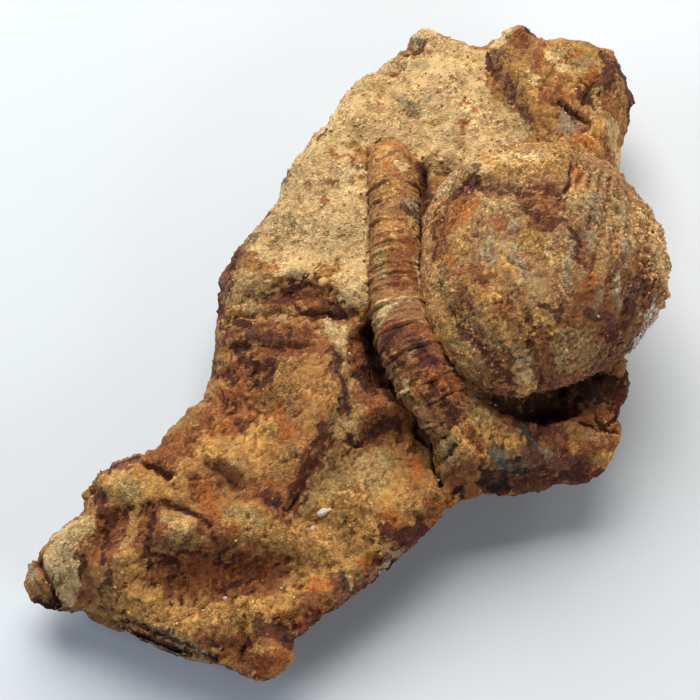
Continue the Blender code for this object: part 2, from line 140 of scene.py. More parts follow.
def along(line, plan):
    """Each point's distance from a line (left is positive), its place along it, and the line's length."""
    nearest = np.full(len(plan), np.inf)
    signed = np.zeros(len(plan))
    place = np.zeros(len(plan))
    walked = 0.0
    ends = [line[0], *line] if len(line) == 1 else line
    for start, end in zip(np.array(ends[:-1], float), np.array(ends[1:], float)):
        step = end - start
        length = max(np.linalg.norm(step), 1e-6)
        share = np.clip((plan - start) @ step / length**2, 0.0, 1.0)
        away = plan - (start + share[:, None] * step)
        distance = np.linalg.norm(away, axis=1)
        side = np.where(step[0] * away[:, 1] - step[1] * away[:, 0] < 0.0, -1.0, 1.0)
        closer = distance < nearest
        nearest[closer] = distance[closer]
        signed[closer] = (distance * side)[closer]
        place[closer] = (walked + share * length)[closer]
        walked += length
    return signed, place, walked


# %% Patterns in space, each with a size in millimetres and a seed of its own
NOISE_SHIFT = (13.1, 7.7, 3.3)
CELL_SHIFT = (11.3, 5.9, 2.3)
OCTAVE_DROP, OCTAVE_STEP = 0.9, 2.1  # how much weaker and how much finer each octave is
CLEFT = 0.5  # the share of a crumb that slopes into the cleft


def seed_shift(seed, steps):
    """A place of its own for each seed, so that no two patterns are alike."""
    return Vector([seed * step for step in steps])


def rough(points, size, seed, octaves=3):
    """Fractal noise of about -1 to 1, with lumps of the given size in millimetres."""
    shift = seed_shift(seed, NOISE_SHIFT)
    places = (points / size).tolist()
    return np.array([noise.fractal(Vector(p) + shift, OCTAVE_DROP, OCTAVE_STEP, octaves) for p in places])


def cells(points, size, seed):
    """Crumbs of the given size: 1 in the middle of each, 0 in the cleft to the next."""
    shift = seed_shift(seed, CELL_SHIFT)
    places = (points / size).tolist()
    near = [noise.voronoi(Vector(p) + shift)[0][:2] for p in places]
    return np.array([min(1.0, (second - first) / CLEFT) for first, second in near])


def chipped(points, size, seed):
    """Fracture facets of the given size: each is a plane with its own tilt and a small step to the next."""
    shift = seed_shift(seed, CELL_SHIFT)
    middle = Vector((0.5, 0.5, 0.5))
    heights = []
    for p in (points / size).tolist():
        place = Vector(p) + shift
        seat = noise.voronoi(place)[1][0]
        heights.append((place - seat).dot(noise.cell_vector(seat * 5.1) - middle) * 2.0)
    return np.array(heights)


def wandering_plan(points, size, seed, reach, octaves):
    """Each point's place in plan, moved by noise, so that a straight stroke comes out ragged."""
    wander = np.column_stack([rough(points, size, seed + k, octaves) for k in (0, 1)])
    return points[:, :2] + reach * wander


# %% Soften a mesh, and find its hollows
STEP_IN, STEP_OUT = 0.5, 0.52
LEVEL_STEP = 0.7


def neighbour_mean(table, edges):
    """The mean of the rows of each point's neighbours."""
    first, second, count = edges[:, 0], edges[:, 1], len(table)
    near = np.maximum(np.bincount(edges.ravel(), minlength=count), 1)
    sums = []
    for row in table.T:
        sums.append(np.bincount(first, row[second], count) + np.bincount(second, row[first], count))
    return np.array(sums).T / near[:, None]


def soften(piece, rounds):
    """Rounds a mesh's facets and keeps its size: each step in is followed by a slightly longer one out."""
    points, edges = read_points(piece), read_edges(piece)
    for _ in range(rounds):
        points += STEP_IN * (neighbour_mean(points, edges) - points)
        points -= STEP_OUT * (neighbour_mean(points, edges) - points)
    write_points(piece, points)


def hollows(piece, rounds):
    """How deep each point lies below its surroundings, from 0 on a crest to 1 in a hollow; 0.5 is level."""
    points, normals, edges = read_points(piece), read_normals(piece), read_edges(piece)
    level = points.copy()
    for _ in range(rounds):
        level += LEVEL_STEP * (neighbour_mean(level, edges) - level)
    depth = ((level - points) * normals).sum(axis=1)
    return 0.5 + 0.5 * np.tanh(depth / (2.0 * depth.std()))


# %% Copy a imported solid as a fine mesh
MERGE_DISTANCE = 0.001


def fine_copy(node, name, voxel, rounds):
    """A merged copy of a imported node, remeshed to even faces of the given size in mm, and softened."""
    piece = bpy.data.objects.new(name, frame["nodes"][node].data.copy())
    bpy.context.scene.collection.objects.link(piece)
    select_only(piece)
    bpy.ops.object.mode_set(mode="EDIT")
    bpy.ops.mesh.select_all(action="SELECT")
    bpy.ops.mesh.remove_doubles(threshold=MERGE_DISTANCE * MM)
    bpy.ops.object.mode_set(mode="OBJECT")
    remesh = piece.modifiers.new("even mesh", "REMESH")
    remesh.mode = "VOXEL"
    remesh.voxel_size = voxel * MM
    bpy.ops.object.modifier_apply(modifier=remesh.name)
    bpy.ops.object.shade_smooth()
    soften(piece, rounds)
    print(name, "has", len(piece.data.polygons), "faces")
    return piece


# %% [markdown]
# ## The camera
#
# The specimen lies on paper and is looked at from the front and well above, at 65 degrees. A long lens,
# close by, keeps the perspective of a hand-held close-up.

# %% Camera
LOOK_AT = Vector((0.0, -4.0, 13.0)) * MM
LOOK_FROM_ANGLE = radians(65)
LENS_DISTANCE = 0.1944

deselect_all()
away = Vector((0.0, -cos(LOOK_FROM_ANGLE), sin(LOOK_FROM_ANGLE)))
bpy.ops.object.camera_add(location=LOOK_AT + LENS_DISTANCE * away)
camera = bpy.context.object
camera.rotation_euler = (-away).to_track_quat("-Z", "Y").to_euler()
camera.data.lens = 100
camera.data.sensor_width = 36
camera.data.clip_start = 0.01
bpy.context.scene.camera = camera
print("camera at", camera.location)

# %% [markdown]
# ## The stone's form
#
# Siltstone breaks along its bedding and across it, and crumbles where iron hasn't cemented it. The packed
# solid has its facets and main ledges. A copy with faces of a third of a millimetre takes what is smaller:
# thin cracks, little steps, flakes and pits. Each is a stroke or a dab at its own place, so that the
# surface isn't the same all over.

# %% Strokes that shape the stone, in plan millimetres
# Cracks: points, depth, half width.
CRACKS = [
    ([(6.2, -10.2), (7.0, -11.5), (8.0, -12.7), (8.6, -14.2), (8.9, -15.8), (9.1, -17.6)], 2.4, 0.3),
    ([(2.0, -0.1), (2.0, -1.6), (2.4, -3.2), (3.0, -4.8), (3.7, -6.4), (4.7, -8.2), (5.4, -9.4)],
        2.4, 0.42),
    ([(1.0, -1.2), (1.5, -3.0), (2.2, -5.2), (2.6, -7.0), (2.6, -8.8)], 0.9, 0.8),
    ([(8.0, 17.6), (7.8, 13.0), (7.9, 9.0), (7.5, 4.4)], 1.4, 0.5),
    ([(2.0, 18.0), (1.7, 13.0), (1.9, 8.0), (1.9, 3.0)], 0.3, 0.25),
    ([(22.5, -10.2), (24.2, -11.0), (25.2, -11.2), (27.2, -11.0)], 1.1, 0.26),
    ([(24.2, -9.5), (25.2, -10.8), (26.2, -10.2), (27.2, -9.5)], 0.7, 0.24),
    ([(12.2, -12.6), (11.8, -13.8), (12.5, -14.5), (12.8, -15.4)], 0.5, 0.25),
    ([(21.5, 24.3), (22.5, 24.3), (23.2, 23.7), (24.2, 23.0), (25.2, 22.0)], 1.2, 0.22),
    ([(26.6, 27.6), (25.6, 26.9), (24.9, 25.6), (24.4, 24.0)], 0.7, 0.3),
    ([(15.6, 33.2), (16.0, 30.6), (17.0, 27.4), (17.4, 25.6), (18.6, 23.4), (19.4, 21.0)], 0.45, 0.3),
    ([(0.2, 13.3), (1.4, 13.8), (2.3, 14.7)], 0.4, 0.15),
    ([(-10.4, -27.6), (-9.6, -27.8), (-8.9, -27.2)], 0.4, 0.14),
    ([(-6.0, -11.5), (-5.0, -11.4), (-4.2, -10.9)], 0.4, 0.15),
    ([(-2.0, -4.2), (-1.2, -5.4), (-1.0, -7.6), (-0.7, -9.8), (-1.6, -11.4), (-2.6, -13.0), (-3.5, -14.4)],
        0.2, 0.2),
    ([(-3.7, -15.2), (-4.3, -16.7), (-5.0, -18.0), (-5.5, -19.3), (-6.6, -20.9)], 0.9, 0.28),
    ([(-20.8, -15.4), (-19.2, -15.9), (-18.2, -16.6), (-17.3, -17.8)], 1.3, 0.45),
    ([(-18.3, -19.8), (-16.6, -20.5), (-15.2, -21.2), (-14.0, -22.0), (-13.0, -23.2)], 0.7, 0.3),
    ([(-14.8, -15.4), (-12.6, -16.6), (-11.4, -17.8), (-10.0, -19.0)], 0.6, 0.5),
    ([(-30.8, -23.4), (-30.0, -25.0), (-29.3, -26.3), (-28.7, -27.7), (-28.4, -28.9)], 1.5, 0.32),
    ([(-23.5, -25.2), (-23.7, -27.4), (-23.9, -29.6)], 0.3, 0.6),
    ([(-5.8, 1.6), (-5.0, 0.5), (-3.6, 0.4), (-2.6, 0.6), (-1.3, 0.1), (0.4, -0.6)], 0.7, 0.22),
    ([(-19.4, -20.2), (-19.0, -21.8), (-19.3, -24.6)], 0.5, 0.5),
    ([(-10.0, -32.3), (-10.4, -33.4), (-10.8, -34.8)], 0.6, 0.3),
    ([(-0.6, -12.8), (0.5, -13.3), (1.5, -12.9)], 0.5, 0.2),
    ([(24.0, 20.2), (24.8, 21.6), (25.6, 22.6)], 0.35, 0.2),
    ([(3.2, -25.2), (4.6, -24.5), (5.8, -24.0)], 0.7, 0.25),
    ([(-22.8, -30.5), (-20.0, -31.2), (-18.0, -32.0), (-15.0, -33.1)], 0.9, 0.2),
]
# Small ledges: points, rise of the left side, half width, reach.
LEDGES = [
    ([(-18.8, -25.3), (-16.0, -24.9), (-13.4, -24.7), (-10.6, -24.5), (-7.4, -24.6), (-3.8, -24.5)],
        0.7, 0.5, 2.4),
    ([(-14.2, -21.9), (-14.9, -23.2), (-16.0, -24.2), (-17.8, -25.0)], -0.9, 0.2, 1.4),
    ([(-23.0, -30.2), (-20.0, -31.0), (-18.0, -31.8), (-15.0, -32.9), (-12.0, -34.2)], 1.3, 0.2, 1.6),
    ([(-18.4, -19.8), (-16.6, -20.5), (-15.2, -21.2), (-14.2, -21.9)], 0.8, 0.2, 1.4),
    ([(-16.6, -17.0), (-15.4, -18.4), (-14.7, -20.2)], -0.6, 0.2, 1.4),
    ([(-15.0, -15.0), (-13.0, -15.8), (-11.4, -17.2), (-9.6, -18.6)], 0.6, 0.3, 1.6),
    ([(-1.9, -3.6), (-1.2, -5.4), (-1.0, -8.4), (-1.2, -10.8), (-2.4, -12.8)], -0.5, 0.3, 1.5),
    ([(-3.2, -14.2), (-4.2, -16.4), (-5.2, -18.6), (-6.6, -20.8)], -1.3, 0.22, 1.8),
    ([(-24.4, -21.4), (-24.9, -23.8), (-25.8, -25.4), (-26.4, -27.2), (-26.8, -28.6)], -0.5, 0.25, 1.4),
    ([(-30.7, -23.5), (-30.0, -25.0), (-29.3, -26.3), (-28.7, -27.7), (-28.4, -28.8)], 1.2, 0.25, 1.8),
    ([(-23.4, -21.0), (-23.2, -23.6), (-23.6, -26.0), (-23.8, -29.2)], 0.5, 0.3, 1.6),
    ([(-9.8, 4.2), (-7.8, 3.9), (-5.6, 4.1), (-3.0, 4.4)], 0.6, 0.2, 1.5),
    ([(-13.2, 0.8), (-10.0, 0.6), (-7.0, 0.7), (-5.0, 0.4), (-2.6, 0.6), (0.6, -0.4)], 0.8, 0.2, 1.6),
    ([(-12.8, -3.0), (-9.6, -3.1), (-6.4, -3.3), (-3.0, -3.4)], 0.8, 0.2, 1.4),
    ([(-2.8, -0.4), (-2.4, -1.8), (-1.6, -3.2)], 0.5, 0.2, 1.2),
    ([(-8.2, -4.6), (-7.2, -5.8), (-8.0, -7.6), (-10.4, -8.0)], 0.6, 0.2, 1.2),
    ([(-10.2, -8.6), (-11.2, -10.4), (-13.2, -11.4)], 0.6, 0.2, 1.2),
    ([(15.2, 33.6), (15.6, 31.0), (16.4, 28.6), (17.2, 26.0), (18.4, 23.6), (19.2, 20.8)], 0.9, 0.22, 1.8),
    ([(16.6, 33.0), (17.0, 30.0), (17.6, 27.0), (19.4, 23.4)], 0.5, 0.2, 1.2),
    ([(24.9, 25.2), (25.6, 27.0), (27.2, 28.4), (28.4, 30.6)], -0.9, 0.25, 1.8),
    ([(21.4, 24.4), (23.2, 23.8), (25.2, 22.2), (26.0, 19.6)], 0.6, 0.2, 1.3),
    ([(18.0, 35.6), (18.6, 33.4), (20.2, 32.2)], 0.7, 0.25, 1.5),
    ([(0.2, -11.3), (2.6, -10.5), (5.0, -9.9)], 1.0, 0.25, 1.8),
    ([(-2.2, -12.9), (-0.2, -13.1), (1.4, -12.6)], 0.6, 0.2, 1.2),
    ([(10.2, -16.6), (12.4, -16.4), (16.4, -15.9), (20.2, -15.2), (23.6, -14.8), (26.8, -14.7)],
        0.8, 0.22, 1.5),
    ([(12.6, -12.2), (12.3, -13.6), (12.9, -15.4)], 0.5, 0.2, 1.3),
    ([(3.0, -24.4), (4.6, -23.8), (6.4, -22.9), (7.6, -21.8)], 0.6, 0.2, 1.4),
    ([(-1.0, -27.8), (0.2, -26.0), (2.2, -25.4)], 0.5, 0.2, 1.4),
    ([(14.4, -10.2), (17.4, -10.9), (20.4, -10.6), (23.6, -9.8)], -0.7, 0.25, 1.4),
    ([(20.8, -14.8), (21.0, -12.6), (22.4, -11.2)], 0.5, 0.2, 1.2),
    ([(6.4, -19.0), (6.6, -20.0), (7.8, -20.6)], 0.6, 0.2, 1.0),
]
# Where the stone crumbles instead of breaking: radius and points.
CRUMBLY = [
    (1.8, [(-8.6, 2.4), (-5.6, 2.2), (-2.6, 2.2), (-0.4, 1.2)]),
    (1.3, [(-12.4, -0.8), (-8.0, -1.0), (-3.0, -1.2)]), (1.8, [(-3.0, 8.0), (0.0, 6.0), (0.8, 2.0)]),
    (1.6, [(-7.4, 6.0), (-4.4, 5.0)]), (2.2, [(-11.0, -5.4), (-9.0, -7.0)]),
    (1.8, [(-12.4, -8.6), (-10.6, -9.8)]), (1.4, [(0.8, -4.0), (1.4, -7.6)]),
    (1.2, [(2.4, 20.0), (5.4, 20.4), (8.0, 18.6)]), (1.4, [(26.2, 26.4), (27.4, 23.4)]),
    (1.4, [(18.6, -11.6), (22.4, -13.2)]), (1.2, [(13.4, -12.4), (16.6, -13.6)]),
    (1.2, [(9.4, -8.8), (9.2, -10.4)]), (1.4, [(-0.4, -27.0), (3.0, -24.8), (6.0, -22.6)]),
    (1.2, [(-19.4, -21.0), (-20.0, -24.6)]), (0.8, [(-16.4, -29.2), (-11.0, -30.6)]),
    (1.2, [(12.6, 17.4), (10.0, 17.6)]), (1.4, [(24.6, -12.4), (26.6, -13.0)]),
    (1.4, [(-1.4, -15.0), (1.6, -14.6)]), (1.2, [(-10.6, -16.2)]), (1.2, [(-5.4, -30.6), (-2.4, -29.4)]),
]
# Dabs: centre, height (a pit is negative), radius.
DABS = [
    ((9.6, -9.4), -0.7, 0.7), ((8.4, -11.0), -0.8, 0.8), ((10.4, -11.6), 0.5, 0.8),
    ((9.8, -14.9), -0.5, 0.25), ((11.4, -12.8), 0.5, 1.2), ((3.2, -9.4), 0.5, 1.0), ((1.0, -8.2), 0.6, 0.9),
    ((2.8, -12.2), -0.4, 1.0), ((-0.6, -13.2), 0.4, 0.8), ((1.6, -11.2), 0.4, 0.6),
    ((-24.0, -19.2), -1.1, 0.7), ((-25.4, -17.5), -0.9, 0.6), ((-24.8, -18.5), 0.5, 0.45),
    ((-21.4, -17.6), 0.6, 1.6), ((-9.9, -21.4), -0.4, 0.25), ((-2.6, -14.2), -0.4, 0.3),
    ((-23.4, -22.4), -0.5, 0.9), ((-19.0, -21.6), -0.5, 0.8), ((-17.0, -22.8), 0.4, 1.4),
    ((-21.8, -25.6), 0.6, 1.1), ((-19.4, -27.4), -0.5, 0.8), ((-16.4, -28.8), -0.4, 0.7),
    ((-13.0, -31.0), 0.4, 1.2), ((-7.2, -33.6), 0.5, 1.0), ((7.4, 33.4), -0.7, 0.9),
    ((3.6, 27.2), -0.5, 1.2), ((7.4, 24.6), -0.4, 1.0), ((12.2, 22.8), -0.4, 0.7), ((10.4, 28.4), 0.5, 1.4),
    ((1.6, 23.4), 0.4, 1.2), ((12.6, 31.4), -0.4, 1.0), ((20.2, 31.0), 0.5, 1.2), ((25.6, 31.6), 0.4, 1.4),
    ((23.0, 27.2), -0.5, 1.0), ((28.4, 26.8), -0.5, 1.0), ((27.4, 23.4), 0.5, 1.1),
    ((10.4, 17.0), -0.5, 0.8), ((8.8, 15.4), -0.5, 0.8), ((-10.6, 2.6), -0.4, 1.4),
    ((-11.8, 5.4), -0.4, 0.9), ((-9.4, -5.9), -0.6, 0.7), ((-12.0, -8.9), -0.6, 0.7),
    ((15.4, -14.6), -0.4, 0.7), ((24.8, -13.2), 0.5, 1.2), ((22.0, -13.4), 0.4, 0.9),
    ((17.6, -12.6), -0.4, 0.8),
]
print(len(CRACKS), "cracks,", len(LEDGES), "ledges,", len(CRUMBLY), "crumbly strokes,", len(DABS), "dabs")


# %% Press strokes into a surface
def press(plan, grooves, sharpness, groove_taper, ledges, ledge_taper, dabs):
    """How far grooves, ledges and dabs lift each plan point, in mm. Strokes taper off at both ends."""
    lift = np.zeros(len(plan))
    for line, depth, width in grooves:
        signed, place, length = along(line, plan)
        cut = np.exp(-np.abs(signed / width) ** sharpness)
        lift -= depth * cut * between(place, 0.0, length, groove_taper, groove_taper)
    for line, rise, width, reach in ledges:
        signed, place, length = along(line, plan)
        step = np.tanh(signed / width) * np.exp(-((signed / reach) ** 2))
        lift += 0.5 * rise * step * between(place, 0.0, length, ledge_taper, ledge_taper)
    for centre, height, radius in dabs:
        distance = np.linalg.norm(plan - np.array(centre), axis=1)
        lift += height * np.exp(-((distance / radius) ** 2))
    return lift


# %% Shape the stone
STONE_VOXEL = 0.31
STONE_ROUNDS = 12
STONE_WANDER = 0.28  # how far noise bends the strokes, in mm
FACET, FLAKE, CRUMB = 3.6, 1.5, 0.75  # sizes of what the stone breaks into, in mm


def carve_stone(stone):
    """Moves the stone's points: strokes from above, then broken grain. The resting face stays flat."""
    points, normals = read_points(stone), read_normals(stone)
    plan = wandering_plan(points, 1.6, 21, STONE_WANDER, 2)
    up = smooth((normals[:, 2] + 0.1) / 0.6)
    points[:, 2] += up * press(plan, CRACKS, 1.6, 0.8, LEDGES, 1.2, DABS)

    # Each layer is a height in mm times a pattern, and the first number of a pattern is its size in mm.
    flaky = smooth(0.5 + 1.4 * rough(points, 7.0, 31, 2))
    crumbly = np.zeros(len(points))
    for radius, line in CRUMBLY:
        crumbly = np.maximum(crumbly, smooth(1.3 - np.abs(along(line, plan)[0]) / radius))
    grain = 0.08 * rough(points, 2.2, 32) + 0.11 * rough(points, 0.9, 33)
    facets = 0.32 * chipped(points, FACET, 34) + 0.19 * chipped(points, FLAKE, 35) * (0.3 + flaky)
    crumbs = (0.12 + 0.13 * flaky) * chipped(points, CRUMB, 36)
    crumbs += 0.03 * (cells(points, 0.9, 37) - 0.6) * flaky
    loose = 0.06 * (cells(points, 0.8, 38) - 0.5) + 0.32 * chipped(points, CRUMB, 39)
    loose += 0.12 * chipped(points, 1.7, 40)
    crumbs += crumbly * loose
    points += normals * (grain + facets + crumbs)[:, None] * smooth(points[:, 2] / 0.8)[:, None]
    points[:, 2] = np.maximum(points[:, 2], 0.0)
    write_points(stone, points)


stone = fine_copy("matrix_rock", "siltstone", STONE_VOXEL, STONE_ROUNDS)
carve_stone(stone)
print("stone carved; it stands", round(read_points(stone)[:, 2].max(), 1), "mm high")
